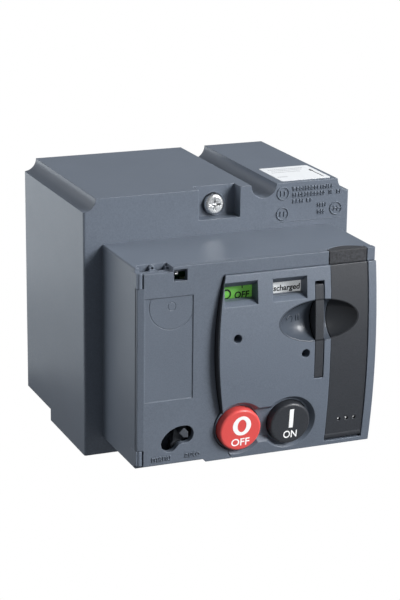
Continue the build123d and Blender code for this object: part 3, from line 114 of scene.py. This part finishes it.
def add_sky():
    """Even, slightly cool studio ambience."""
    world = bpy.data.worlds.new("studio")
    bpy.context.scene.world = world
    world.use_nodes = True
    background = world.node_tree.nodes["Background"]
    background.inputs["Color"].default_value = (*SKY_COLOUR, 1)
    background.inputs["Strength"].default_value = SKY_STRENGTH


def glowing(name, strength, colour=(1, 1, 1)):
    """Plain material that gives off even light."""
    material, _, shader = start_material(name)
    shader.inputs["Base Color"].default_value = (0, 0, 0, 1)
    shader.inputs["Roughness"].default_value = 1.0
    shader.inputs["Specular IOR Level"].default_value = 0.0
    shader.inputs["Emission Color"].default_value = (*colour, 1)
    shader.inputs["Emission Strength"].default_value = strength
    return material


def add_floor():
    """Plain white sweep that glows evenly, as paper on a light table does."""
    bpy.ops.mesh.primitive_plane_add(size=FLOOR_SIZE, location=(0, 0, CAD_LOW.z))
    floor = bpy.context.object
    floor.name = "floor"
    floor.data.materials.append(glowing("pale_floor", 1.0))
    floor.visible_diffuse = False
    floor.visible_glossy = False


def add_bounce_card(near, far, strength):
    """Ring of floor behind the part that is seen only in its gloss, near to far metres away."""
    builder = bmesh.new()
    rows = []
    for step in range(BOUNCE_STEPS + 1):
        angle = math.radians(BOUNCE_START + BOUNCE_SWEEP * step / BOUNCE_STEPS)
        across, back = math.cos(angle), math.sin(angle)
        rows.append([builder.verts.new((r * across, r * back - BOUNCE_CENTRE_Y, CAD_LOW.z))
                     for r in (near, far)])
    for a, b in zip(rows, rows[1:]):
        builder.faces.new((a[0], a[1], b[1], b[0]))
    mesh = bpy.data.meshes.new("bounce_card")
    builder.to_mesh(mesh)
    builder.free()
    mesh.materials.append(glowing("bounce", strength, BOUNCE_COLOUR))
    card = bpy.data.objects.new("bounce_card", mesh)
    bpy.context.scene.collection.objects.link(card)
    card.visible_camera = False
    card.visible_diffuse = False


def add_studio():
    middle = (CAD_LOW + CAD_HIGH) / 2
    for name, place, side, watts in LIGHTS:
        add_area_light(name, place, middle, side, watts)
    for near, far, strength in BOUNCE_CARDS:
        add_bounce_card(near, far, strength)
    add_sky()
    add_floor()
    bpy.context.scene.view_settings.view_transform = "Standard"


# ------------------------------------------------------------------ surfaces under the details, in mm
FRONT = -106.0
BLOCK_FRONT = -70.0
TOP = 62.5
# y and z of three points of the fascia's arc
BULGE = ((-107.1, 40.65), (-109.4, 8.0), (-106.0, -28.0))
BUTTONS = {"off": (-7.2, -16.5), "on": (12.3, -16.5)}
BUTTON_PROUD = 1.3
FLAG_AXIS = (-92.5, 33.2)
FLAG_R = 8.3
BOARD_FRONT = -92.0
TERMINAL_FRONT = -100.6
TERMINAL_LOW = -3.0
TERMINAL_PITCH = 5.1
SCOOP_X = 22.85
SCOOP_Z = 21.5
SCOOP_HALF = 16.6
SCOOP_R = 8.2
SCOOP_FORWARD = 3.0             # of the scoop's centre, in front of the fascia


def circle_through(a, b, c):
    """Centre and radius of the circle through three points of a plane."""
    d = 2 * (a[0] * (b[1] - c[1]) + b[0] * (c[1] - a[1]) + c[0] * (a[1] - b[1]))
    squares = [p[0] ** 2 + p[1] ** 2 for p in (a, b, c)]
    y = (squares[0] * (b[1] - c[1]) + squares[1] * (c[1] - a[1]) + squares[2] * (a[1] - b[1])) / d
    z = (squares[0] * (c[0] - b[0]) + squares[1] * (a[0] - c[0]) + squares[2] * (b[0] - a[0])) / d
    return y, z, math.hypot(y - a[0], z - a[1])


BULGE_Y, BULGE_Z, BULGE_R = circle_through(*BULGE)


def fascia_y(z):
    """The bulging fascia's front at a height."""
    return BULGE_Y - math.sqrt(BULGE_R ** 2 - (z - BULGE_Z) ** 2)


def facing_front(x, y, z):
    """Place on an upright plane that faces the operator: u to the right, v up, w outward."""
    return lambda u, v, w: Vector((x + u, y - w, z + v)) * MM


def facing_up(x, y, z):
    """Place on a level plane: u to the right, v to the rear, w upward."""
    return lambda u, v, w: Vector((x + u, y + v, z + w)) * MM


def on_button(name, right=0.0, up_by=0.0):
    """Place on a button's flat head, which leans back with the fascia."""
    x, z = BUTTONS[name]
    lean = math.atan2(z - BULGE_Z, BULGE_Y - fascia_y(z))
    out = Vector((0, -math.cos(lean), math.sin(lean)))
    up = Vector((0, math.sin(lean), math.cos(lean)))
    centre = Vector((x, fascia_y(z), z)) + out * BUTTON_PROUD
    return lambda u, v, w: (centre + Vector((u + right, 0, 0)) + up * (v + up_by) + out * w) * MM


def on_flag(x, z):
    """Place on a flag's drum, wrapped round its axle."""
    def place(u, v, w):
        turn = (z + v - FLAG_AXIS[1]) / FLAG_R
        r = FLAG_R + w
        return Vector((x + u, FLAG_AXIS[0] - r * math.cos(turn), FLAG_AXIS[1] + r * math.sin(turn))) * MM
    return place


def on_scoop(x, z):
    """Place on the wall of the finger scoop."""
    def place(u, v, w):
        depth = max(0.0, 1 - ((x + u - SCOOP_X) / SCOOP_HALF) ** 2 - ((z + v - SCOOP_Z) / SCOOP_R) ** 2)
        wall_y = fascia_y(SCOOP_Z) - SCOOP_FORWARD + SCOOP_R * math.sqrt(depth)
        return Vector((x + u, wall_y - w, z + v)) * MM
    return place


# ------------------------------------------------------------------ materials
MIX_COLOUR_INPUTS = (6, 7)      # the colour sockets of a Mix node
MIX_COLOUR_OUTPUT = 2
EDGE_COSINES = (0.86, 0.995)    # between true and softened normal: on an edge, away from it
MOULDED_EDGE_MM = 0.35
METAL_EDGE_MM = 0.2
MOTTLE_MM = 14
WEAR_MM = 3.0
TARNISH_MM = 6
TARNISH = 0.12
SCRATCH_DEPTH = 0.006
GREY = (0.105, 0.126, 0.160)
# darkening of the finger scoop's wall in colour: painted shade
PAINTED_SCOOP_SHADE = 0.55
POLISH_ROUGHNESS = 0.24
POLISH_AND_SHADE_BAND = 0.035             # how far from the ellipsoid a point still counts, as a part of its radius


def start_material(name):
    """A new material, its node tree and its Principled shader."""
    material = bpy.data.materials.new(name)
    material.use_nodes = True
    tree = material.node_tree
    return material, tree, tree.nodes["Principled BSDF"]


def add_node(tree, kind, **settings):
    node = tree.nodes.new("ShaderNode" + kind)
    for key, value in settings.items():
        setattr(node, key, value)
    return node


def noise(tree, size_mm, detail=2.0, roughness=0.5, stretch=(1, 1, 1)):
    """A noise field in the part's own space whose features are size_mm across."""
    place = add_node(tree, "TexCoord")
    mapping = add_node(tree, "Mapping")
    mapping.inputs["Scale"].default_value = stretch
    tree.links.new(place.outputs["Object"], mapping.inputs["Vector"])
    texture = add_node(tree, "TexNoise")
    texture.inputs["Scale"].default_value = 1 / (size_mm * MM)
    texture.inputs["Detail"].default_value = detail
    texture.inputs["Roughness"].default_value = roughness
    tree.links.new(mapping.outputs["Vector"], texture.inputs["Vector"])
    return texture.outputs["Fac"]


def ramp(tree, value, low, high, from_low=0.3, from_high=0.7):
    """Map a noise value onto low..high."""
    node = add_node(tree, "MapRange")
    node.inputs["From Min"].default_value = from_low
    node.inputs["From Max"].default_value = from_high
    node.inputs["To Min"].default_value = low
    node.inputs["To Max"].default_value = high
    tree.links.new(value, node.inputs["Value"])
    return node.outputs["Result"]


def mix_colour(tree, factor, a, b):
    """Mix two colours by a factor's socket; each colour is a tuple or a socket."""
    node = add_node(tree, "Mix", data_type="RGBA")
    tree.links.new(factor, node.inputs[0])
    for colour, index in zip((a, b), MIX_COLOUR_INPUTS):
        if isinstance(colour, bpy.types.NodeSocket):
            tree.links.new(colour, node.inputs[index])
        else:
            node.inputs[index].default_value = (*colour, 1)
    return node.outputs[MIX_COLOUR_OUTPUT]


def rounded_edges(tree, radius_mm):
    """Normal with softened edges, and a mask that is 1 on an edge and 0 away from it."""
    bevel = add_node(tree, "Bevel", samples=6)
    bevel.inputs["Radius"].default_value = radius_mm * MM
    geometry = add_node(tree, "NewGeometry")
    dot = add_node(tree, "VectorMath", operation="DOT_PRODUCT")
    tree.links.new(bevel.outputs["Normal"], dot.inputs[0])
    tree.links.new(geometry.outputs["Normal"], dot.inputs[1])
    return bevel.outputs["Normal"], ramp(tree, dot.outputs["Value"], 1, 0, *EDGE_COSINES)


def bump(tree, height, depth_mm, normal):
    node = add_node(tree, "Bump")
    node.inputs["Distance"].default_value = depth_mm * MM
    tree.links.new(height, node.inputs["Height"])
    tree.links.new(normal, node.inputs["Normal"])
    return node.outputs["Normal"]


def ellipsoid_mask(tree, centre, radii):
    """1 on the surface of an ellipsoid of the part's own space, in millimetres, and 0 elsewhere."""
    place = add_node(tree, "TexCoord")
    mapping = add_node(tree, "Mapping", vector_type="TEXTURE")
    mapping.inputs["Location"].default_value = [c * MM for c in centre]
    mapping.inputs["Scale"].default_value = [r * MM for r in radii]
    tree.links.new(place.outputs["Object"], mapping.inputs["Vector"])
    length = add_node(tree, "VectorMath", operation="LENGTH")
    tree.links.new(mapping.outputs["Vector"], length.inputs[0])
    on_wall = add_node(tree, "Math", operation="COMPARE")
    tree.links.new(length.outputs["Value"], on_wall.inputs[0])
    on_wall.inputs[1].default_value = 1.0
    on_wall.inputs[2].default_value = POLISH_AND_SHADE_BAND
    return on_wall.outputs[0]


def shade(colour, factor):
    return tuple(min(1.0, c * factor) for c in colour)


def moulded(name, colour, rough=0.45, grain_mm=0.45, grain_depth=0.02, speckle=0.10,
            mottle=0.04, edge=1.35, polish_and_shade=None):
    """Moulded plastic: spark-eroded grain, faint flow mottling, and edges softened in the normal and paler
    in patches along them: a painted edge highlight mixed with wear.

    The scoop's ellipsoid, a centre and three radii, marks a wall that came off a tool with a high polish:
    it is smoother there, and its colour is darkened there as painted shade.
    """
    material, tree, shader = start_material(name)
    fine = noise(tree, grain_mm, 3, 0.6)
    broad = noise(tree, MOTTLE_MM, 2, 0.5)
    grain = ramp(tree, fine, 0, 1, 0.35, 0.65)
    speckled = mix_colour(tree, grain, shade(colour, 1 - speckle), shade(colour, 1 + speckle))
    mottled = mix_colour(tree, ramp(tree, broad, 0, mottle * 4), speckled, shade(colour, 1.3))
    normal, on_edge = rounded_edges(tree, MOULDED_EDGE_MM)
    # painted edge highlight mixed with wear: paler colour on the edges where the wear noise is high
    worn = add_node(tree, "Math", operation="MULTIPLY")
    tree.links.new(on_edge, worn.inputs[0])
    tree.links.new(ramp(tree, noise(tree, WEAR_MM), 0.35, 1.0), worn.inputs[1])
    final = mix_colour(tree, worn.outputs[0], mottled, shade(colour, edge))
    roughness = ramp(tree, fine, rough - 0.06, rough + 0.08)
    if polish_and_shade:
        on_wall = ellipsoid_mask(tree, *polish_and_shade)
        # painted shade: the scoop's wall is darkened in colour
        final = mix_colour(tree, on_wall, final, shade(colour, PAINTED_SCOOP_SHADE))
        softer = add_node(tree, "Mix", data_type="FLOAT")
        tree.links.new(on_wall, softer.inputs[0])
        tree.links.new(roughness, softer.inputs[2])
        softer.inputs[3].default_value = POLISH_ROUGHNESS
        roughness = softer.outputs[0]
    tree.links.new(final, shader.inputs["Base Color"])
    tree.links.new(roughness, shader.inputs["Roughness"])
    tree.links.new(bump(tree, fine, grain_depth, normal), shader.inputs["Normal"])
    return material


def metal(name, colour, rough=0.3, streak=(1, 1, 12), streak_mm=0.6):
    """Plated, turned or cast metal: fine directional scratches and uneven tarnish."""
    material, tree, shader = start_material(name)
    scratches = noise(tree, streak_mm, 4, 0.65, streak)
    cloud = ramp(tree, noise(tree, TARNISH_MM, 3, 0.6), 0, 1)
    tinted = mix_colour(tree, cloud, shade(colour, 1 - TARNISH), shade(colour, 1 + TARNISH * 0.5))
    normal, on_edge = rounded_edges(tree, METAL_EDGE_MM)
    tree.links.new(mix_colour(tree, on_edge, tinted, shade(colour, 1.25)), shader.inputs["Base Color"])
    shader.inputs["Metallic"].default_value = 1
    tree.links.new(ramp(tree, scratches, rough - 0.1, rough + 0.12), shader.inputs["Roughness"])
    tree.links.new(bump(tree, scratches, SCRATCH_DEPTH, normal), shader.inputs["Normal"])
    return material


def clear_plastic(name):
    """Thin clear pane with slightly uneven gloss."""
    material, tree, shader = start_material(name)
    shader.inputs["Base Color"].default_value = (0.03, 0.035, 0.04, 1)
    shader.inputs["Alpha"].default_value = 0.06
    tree.links.new(ramp(tree, noise(tree, 4), 0.02, 0.07), shader.inputs["Roughness"])
    return material


def printed(name, colour, rough=0.5, painted_glow=0.0):
    """Ink or film: nearly even, with the faint dotty wear of pad printing.

    glow is the strength of painted light given off evenly by the ink, which lifts the flags in their dark
    windows.
    """
    material, tree, shader = start_material(name)
    worn = ramp(tree, noise(tree, 0.5, 3, 0.6), 0, 1, 0.3, 0.75)
    tree.links.new(mix_colour(tree, worn, shade(colour, 0.93), colour), shader.inputs["Base Color"])
    tree.links.new(ramp(tree, noise(tree, 2), rough - 0.05, rough + 0.1), shader.inputs["Roughness"])
    # painted light: the ink gives off light of its own colour
    shader.inputs["Emission Color"].default_value = (*colour, 1)
    shader.inputs["Emission Strength"].default_value = painted_glow
    return material


# the finger scoop's wall, smoother and darkened in colour as painted shade: centre and radii
SCOOP_POLISH_AND_SHADE = ((SCOOP_X, -112.14, SCOOP_Z), (SCOOP_HALF, SCOOP_R, SCOOP_R))
MATERIALS = {
    "rear_moulding": moulded("grey_block", shade(GREY, 0.98), 0.42),
    "nose_moulding": moulded("grey_nose", GREY, 0.42, polish_and_shade=SCOOP_POLISH_AND_SHADE),
    "door_moulding": moulded("grey_door", shade(GREY, 0.93), 0.45),
    "black_moulding": moulded("black_plastic", (0.028, 0.031, 0.037), 0.4, grain_mm=0.4,
                              grain_depth=0.015, speckle=0.2, mottle=0.05, edge=2.6, polish_and_shade=SCOOP_POLISH_AND_SHADE),
    "grip_moulding": moulded("rough_black_grip", (0.027, 0.029, 0.034), 0.6, grain_mm=0.8,
                             grain_depth=0.16, speckle=0.5, mottle=0.06, edge=1.6),
    "selector_moulding": moulded("dark_selector", (0.05, 0.057, 0.068), 0.42),
    "red_moulding": moulded("red_button", (0.66, 0.075, 0.07), 0.36, grain_mm=0.4, grain_depth=0.008,
                            speckle=0.03, mottle=0.03, edge=1.2),
    "label_sheet": printed("white_label", (0.72, 0.74, 0.76), 0.5),
    "clear_plastic": clear_plastic("clear_window"),
    # the flags' inks give off painted light, to lift them in their dark windows
    "green_moulding": printed("green_flag", (0.24, 0.72, 0.12), 0.45, painted_glow=0.16),
    "white_moulding": printed("white_flag", (0.90, 0.93, 0.95), 0.45, painted_glow=0.3),
    "bright_steel": metal("bright_zinc", (0.75, 0.76, 0.76), 0.28),
    "zinc_steel": metal("zinc_plate", (0.62, 0.63, 0.61), 0.38, streak=(1, 1, 1), streak_mm=1.2),
    "spring_steel": metal("spring_wire", (0.55, 0.55, 0.56), 0.3),
    "gear_steel": metal("gear_steel", (0.5, 0.49, 0.48), 0.32, streak=(8, 1, 1)),
    "bronze": metal("sintered_bronze", (0.62, 0.42, 0.22), 0.42),
    "cast_zinc": metal("cast_zinc", (0.58, 0.58, 0.59), 0.5, streak=(1, 1, 1), streak_mm=0.8),
    "carriage_moulding": moulded("cream_carriage", (0.62, 0.58, 0.47), 0.5),
    "motor_can_steel": metal("motor_can", (0.6, 0.6, 0.6), 0.25, streak=(12, 1, 1)),
    "switch_moulding": moulded("black_switch", (0.03, 0.03, 0.032), 0.4),
    "board_laminate": moulded("green_board", (0.02, 0.14, 0.06), 0.3, grain_mm=0.3,
                              grain_depth=0.004),
    "terminal_moulding": moulded("green_terminals", (0.05, 0.22, 0.09), 0.45),
}
INK_WHITE = printed("white_ink", (0.92, 0.93, 0.93), 0.45)
INK_BLACK = printed("black_ink", (0.015, 0.015, 0.017), 0.5)
INK_GREY = printed("grey_ink", (0.45, 0.46, 0.48), 0.5)


def paint_nodes():
    """Give every CAD node the material of its slot."""
    for entry in frame["record"]["subparts"]:
        mesh = frame["nodes"][entry["node"]].data
        mesh.materials.clear()
        mesh.materials.append(MATERIALS[entry["material_slot"]])


# ------------------------------------------------------------------ building blocks of the details
def add_piece(name, builder, body, material):
    """Turn a bmesh into a piece that rides on a body and takes the given material."""
    mesh = bpy.data.meshes.new(name)
    bmesh.ops.recalc_face_normals(builder, faces=builder.faces)
    builder.to_mesh(mesh)
    builder.free()
    mesh.materials.append(material)
    piece = bpy.data.objects.new(name, mesh)
    bpy.context.scene.collection.objects.link(piece)
    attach(piece, body)


def add_prism(builder, points, place, low, high):
    """A flat prism from an outline of (u, v) points, between the heights low and high."""
    bottom = [builder.verts.new(place(u, v, low)) for u, v in points]
    top = [builder.verts.new(place(u, v, high)) for u, v in points]
    builder.faces.new(top)
    builder.faces.new(list(reversed(bottom)))
    for i in range(len(points)):
        j = (i + 1) % len(points)
        builder.faces.new((bottom[i], bottom[j], top[j], top[i]))


def add_bar(builder, u0, u1, v0, v1, place, low, high):
    add_prism(builder, ((u0, v0), (u1, v0), (u1, v1), (u0, v1)), place, low, high)


def add_disc(builder, u, v, r, place, low, high, segments=12):
    turns = [math.tau * i / segments for i in range(segments)]
    points = [(u + r * math.cos(turn), v + r * math.sin(turn)) for turn in turns]
    add_prism(builder, points, place, low, high)


def add_ring(builder, u, v, r_out, r_in, place, low, high, segments, stretch=1.0, start=0.0, sweep=math.tau,
             hole_stretch=None):
    """A flat ring, or a part of one when sweep is less than a full turn; stretch makes it taller."""
    whole = sweep >= math.tau
    count = segments if whole else segments + 1
    tall = hole_stretch or stretch
    rows = []
    for i in range(count):
        a = start + sweep * i / segments
        c, s = math.cos(a), math.sin(a)
        rows.append([builder.verts.new(place(u + r * c, v + r * s * k, w)) for r, k, w in (
            (r_out, stretch, low), (r_out, stretch, high), (r_in, tall, high), (r_in, tall, low))])
    for i in range(count if whole else count - 1):
        a, b = rows[i], rows[(i + 1) % count]
        for k in range(4):
            m = (k + 1) % 4
            builder.faces.new((a[k], b[k], b[m], a[m]))
    if not whole:
        builder.faces.new(rows[0])
        builder.faces.new(list(reversed(rows[-1])))


def add_text(builder, text, height, place, low, high, width=None, weight=0.0, facet=5.0):
    """Lettering of a given height, centred on the place; facet is the longest edge that is left whole."""
    curve = bpy.data.curves.new("lettering", "FONT")
    curve.body = text
    curve.extrude = 0.5
    curve.offset = weight
    curve.resolution_u = 5
    holder = bpy.data.objects.new("lettering", curve)
    bpy.context.scene.collection.objects.link(holder)
    mesh = bpy.data.meshes.new_from_object(holder, depsgraph=bpy.context.evaluated_depsgraph_get())
    letters = bmesh.new()
    letters.from_mesh(mesh)
    bpy.data.objects.remove(holder)
    bpy.data.curves.remove(curve)
    bpy.data.meshes.remove(mesh)
    bmesh.ops.remove_doubles(letters, verts=letters.verts, dist=1e-5)
    bmesh.ops.triangulate(letters, faces=letters.faces)
    xs = [v.co.x for v in letters.verts]
    ys = [v.co.y for v in letters.verts]
    scale_v = height / (max(ys) - min(ys))
    scale_u = scale_v if width is None else width / (max(xs) - min(xs))
    middle = (max(xs) + min(xs)) / 2, (max(ys) + min(ys)) / 2
    for v in letters.verts:
        v.co = Vector(((v.co.x - middle[0]) * scale_u, (v.co.y - middle[1]) * scale_v,
                       low if v.co.z < 0 else high))
    for _ in range(3):
        long_edges = [e for e in letters.edges if e.calc_length() > facet]
        if long_edges:
            bmesh.ops.subdivide_edges(letters, edges=long_edges, cuts=1)
            bmesh.ops.triangulate(letters, faces=letters.faces)
    copies = {v: builder.verts.new(place(*v.co)) for v in letters.verts}
    for face in letters.faces:
        builder.faces.new([copies[v] for v in face.verts])
    letters.free()


# ------------------------------------------------------------------ prints and raised marks
# how far a mark reaches into its surface and out of it, in mm
PRINT = (-0.05, 0.05)
FLAG_PRINT = (-0.02, 0.07)
SHEET_PRINT = (0.0, 0.02)
RAISED = (-0.05, 0.3)
SCOOP_RAISED = (-0.1, 0.16)

# each button's word, how far below the middle it stands, and its width
BUTTON_WORDS = {"off": ("OFF", 4.6, 7.0), "on": ("ON", 4.1, 5.3)}

# the three small holes near the handle's foot, each with a painted glint at its bottom
PIP_X = 32.6
PIP_PITCH = 3.1
PIP_Z = -18.0
PIP_DEPTH = 1.01                # behind the fascia's arc

# letters of a dummy line: least width, what is added to it at most, gap, length of the number cycle
LETTER_WIDTH = 0.45
LETTER_EXTRA = 0.55
LETTER_GAP = 0.42
LETTER_CYCLE = 101

# on the block's front: centres of the raised rings, and each dummy line's ends, foot, height and seed
BLOCK_RINGS = ((25.4, 58.6), (25.3, 50.8), (47.2, 51.3))
BLOCK_LINES = (
    (29.4, 45.6, 59.2, 1.5, 5),
    (29.4, 48.8, 56.9, 1.5, 17),
    (29.4, 37.0, 54.6, 1.4, 43),
    (39.6, 42.8, 52.3, 1.6, 8),
    (39.6, 42.8, 49.6, 1.7, 29),
)

# the top label's middle, and each row of dummy print: ends, foot and height
LABEL_X = 36.0
LABEL_Y = -56.9
LABEL_ROWS = ((-7.8, 6.0, 6.6, 1.1), (-7.2, 5.0, 4.6, 0.9), (-8.2, 3.2, 2.0, 1.0), (-9.0, -4.8, -5.2, 1.2))
LABEL_DASH = 0.55
LABEL_PITCH = 0.85

TERMINALS = 8
CHIP_X = -22.4
CHIP_HEIGHTS = (-2.6, 5.0)
CHIP_LEGS = 5
LEG_PITCH = 1.05
RESISTOR_HEIGHTS = (35.0, 37.0)


def add_button_marks():
    for name, (word, below, width) in BUTTON_WORDS.items():
        ink = bmesh.new()
        place = on_button(name)
        if name == "off":
            add_ring(ink, 0.4, 1.8, 3.5, 1.7, place, *PRINT, 48, 1.08, hole_stretch=1.45)
        else:
            add_bar(ink, -0.55, 1.05, -1.5, 5.8, place, *PRINT)
        add_text(ink, word, 2.9, on_button(name, 0.2, -below), *PRINT, width, 0.012)
        add_piece(f"{name}_button_print", ink, f"{name}_key", INK_WHITE)


def add_flag_marks():
    """Ring, OFF and a short stroke on one flag, discharged on the other."""
    ink = bmesh.new()
    add_ring(ink, 0, 0, 1.95, 1.35, on_flag(-10.1, 31.8), *FLAG_PRINT, 28, 1.05)
    add_text(ink, "OFF", 2.8, on_flag(-4.0, 31.2), *FLAG_PRINT, 5.6, 0.02, 0.7)
    add_bar(ink, -0.2, 0.2, -0.5, 0.5, on_flag(-4.0, 34.2), *FLAG_PRINT)
    add_piece("position_flag_print", ink, "position_indicator", INK_BLACK)
    ink = bmesh.new()
    add_text(ink, "discharged", 2.9, on_flag(12.3, 31.9), *FLAG_PRINT, 12.4, 0.022, 0.7)
    add_piece("charge_flag_print", ink, "charge_indicator", INK_BLACK)


def add_selector_marks():
    """Raised words under the two ends of the selector's slot."""
    raised = bmesh.new()
    add_text(raised, "manu", 1.75, facing_front(-36.3, FRONT, -24.6), *RAISED, 7.2, 0.01)
    add_text(raised, "auto", 1.95, facing_front(-24.5, FRONT, -24.3), *RAISED, 5.7, 0.01)
    add_piece("selector_marks", raised, "door", MATERIALS["door_moulding"])


def add_scoop_marks():
    """A short curved arrow and two strokes, raised in the scoop: pull and let go."""
    raised = bmesh.new()
    place = on_scoop(12.6, 21.9)
    start, sweep = math.radians(-60), math.radians(250)
    add_ring(raised, 0, 0, 1.5, 1.1, place, *SCOOP_RAISED, 14, 1.0, start, sweep)
    add_prism(raised, ((-1.9, 0.7), (-0.6, 0.9), (-1.4, -0.4)), place, *SCOOP_RAISED)
    for u in (2.6, 3.7):
        add_bar(raised, u, u + 0.45, -1.1, 1.1, place, *SCOOP_RAISED)
    add_piece("scoop_marks", raised, "case", MATERIALS["nose_moulding"])


def add_handle_glints():
    """Painted glints: small white discs at the bottom of the three small holes near the handle's foot."""
    painted_glints = bmesh.new()
    for i in range(3):
        place = facing_front(PIP_X + PIP_PITCH * i, fascia_y(PIP_Z) + PIP_DEPTH, PIP_Z)
        add_disc(painted_glints, 0.05, 0.1, 0.33, place, 0, 0.12)
    add_piece("handle_painted_glints", painted_glints, "handle", INK_WHITE)


def add_dummy_line(builder, place, u0, u1, v, height, seed):
    """A row of little upright blocks that stands for a line of small raised lettering."""
    u = u0
    step = seed
    while u < u1:
        step = (step * 37 + 11) % LETTER_CYCLE
        wide = LETTER_WIDTH + LETTER_EXTRA * step / LETTER_CYCLE
        right = min(u + wide, u1)
        if step % 7:
            add_bar(builder, u, right, v, v + height, place, *RAISED)
            if step % 3:
                add_bar(builder, u + wide * 0.4, right + 0.15, v + height * 0.4, v + height * 0.6,
                        place, *RAISED)
        u += wide + LETTER_GAP


def add_block_marks():
    """Small raised rings and dummy lines on the block's front, right of the groove."""
    raised = bmesh.new()
    place = facing_front(0, BLOCK_FRONT, 0)
    for u, v in BLOCK_RINGS:
        add_ring(raised, u, v, 2.5, 2.15, place, *RAISED, 32)
        add_bar(raised, u - 1.0, u - 0.6, v - 1.0, v + 1.0, place, *RAISED)
        add_bar(raised, u + 0.5, u + 0.9, v - 1.0, v + 0.8, place, *RAISED)
    add_bar(raised, 45.0, 49.4, 51.1, 51.5, place, *RAISED)
    for u0, u1, v, height, seed in BLOCK_LINES:
        add_dummy_line(raised, place, u0, u1, v, height, seed)
    add_bar(raised, 22.5, 49.5, 47.5, 47.7, place, -0.05, 0.07)
    add_piece("block_marks", raised, "case", MATERIALS["rear_moulding"])


def add_label_print():
    """Grey dummy rows and one black stroke with a head on the top label."""
    ink = bmesh.new()
    place = facing_up(LABEL_X, LABEL_Y, TOP + 0.15)
    for u0, u1, v, height in LABEL_ROWS:
        u = u0
        while u < u1:
            add_bar(ink, u, u + LABEL_DASH, v, v + height, place, *SHEET_PRINT)
            u += LABEL_PITCH
    add_piece("label_print", ink, "case", INK_GREY)
    ink = bmesh.new()
    add_bar(ink, 7.8, 8.2, -8.6, 3.8, place, *SHEET_PRINT)
    add_bar(ink, 7.4, 8.5, 1.4, 3.4, place, *SHEET_PRINT)
    add_piece("label_scale", ink, "case", INK_BLACK)


def add_terminal_numbers():
    """Numbers printed beside the screws of the terminal block, from 1 at the top."""
    ink = bmesh.new()
    for i in range(TERMINALS):
        z = TERMINAL_LOW + TERMINAL_PITCH * (i + 0.5)
        add_text(ink, str(TERMINALS - i), 1.9, facing_front(-27.5, TERMINAL_FRONT, z), -0.03, 0.05)
    add_piece("terminal_numbers", ink, "case", INK_WHITE)


def add_rod(builder, start, end, radius, sides):
    """Straight round rod between two (x, y, z) points in millimetres."""
    start, end = Vector(start), Vector(end)
    ahead = (end - start).normalized()
    side = ahead.orthogonal().normalized()
    other = ahead.cross(side)
    turns = [math.tau * k / sides for k in range(sides)]
    ends = [[builder.verts.new((spot + (side * math.cos(turn) + other * math.sin(turn)) * radius) * MM)
             for turn in turns] for spot in (start, end)]
    for k in range(sides):
        m = (k + 1) % sides
        builder.faces.new((ends[0][k], ends[0][m], ends[1][m], ends[1][k]))
    builder.faces.new(ends[0])
    builder.faces.new(list(reversed(ends[1])))


def add_board_details():
    """Two chips with their legs and two resistors with solder dots on the control board's free strip."""
    chips, legs, bodies = bmesh.new(), bmesh.new(), bmesh.new()
    for z in CHIP_HEIGHTS:
        place = facing_front(CHIP_X, BOARD_FRONT, z)
        add_bar(chips, -2.0, 2.0, -2.6, 2.6, place, 0.3, 1.7)
        for k in range(CHIP_LEGS):
            v = LEG_PITCH * k - 2.1
            for u0, u1 in ((-2.7, -2.0), (2.0, 2.7)):
                add_bar(legs, u0, u1, v - 0.2, v + 0.2, place, -0.02, 0.9)
    for z in RESISTOR_HEIGHTS:
        y = BOARD_FRONT - 0.9
        add_rod(bodies, (-24.6, y, z), (-21.2, y, z), 0.75, 14)
        place = facing_front(0, BOARD_FRONT, z)
        for u in (-25.4, -20.6):
            add_disc(legs, u, 0, 0.45, place, -0.02, 0.5)
    add_piece("board_chips", chips, "case", MATERIALS["switch_moulding"])
    add_piece("board_legs", legs, "case", MATERIALS["bright_steel"])
    add_piece("board_resistors", bodies, "case", MATERIALS["carriage_moulding"])


add_camera()
add_studio()
paint_nodes()
add_button_marks()
add_flag_marks()
add_selector_marks()
add_scoop_marks()
add_handle_glints()
add_block_marks()
add_label_print()
add_terminal_numbers()
add_board_details()
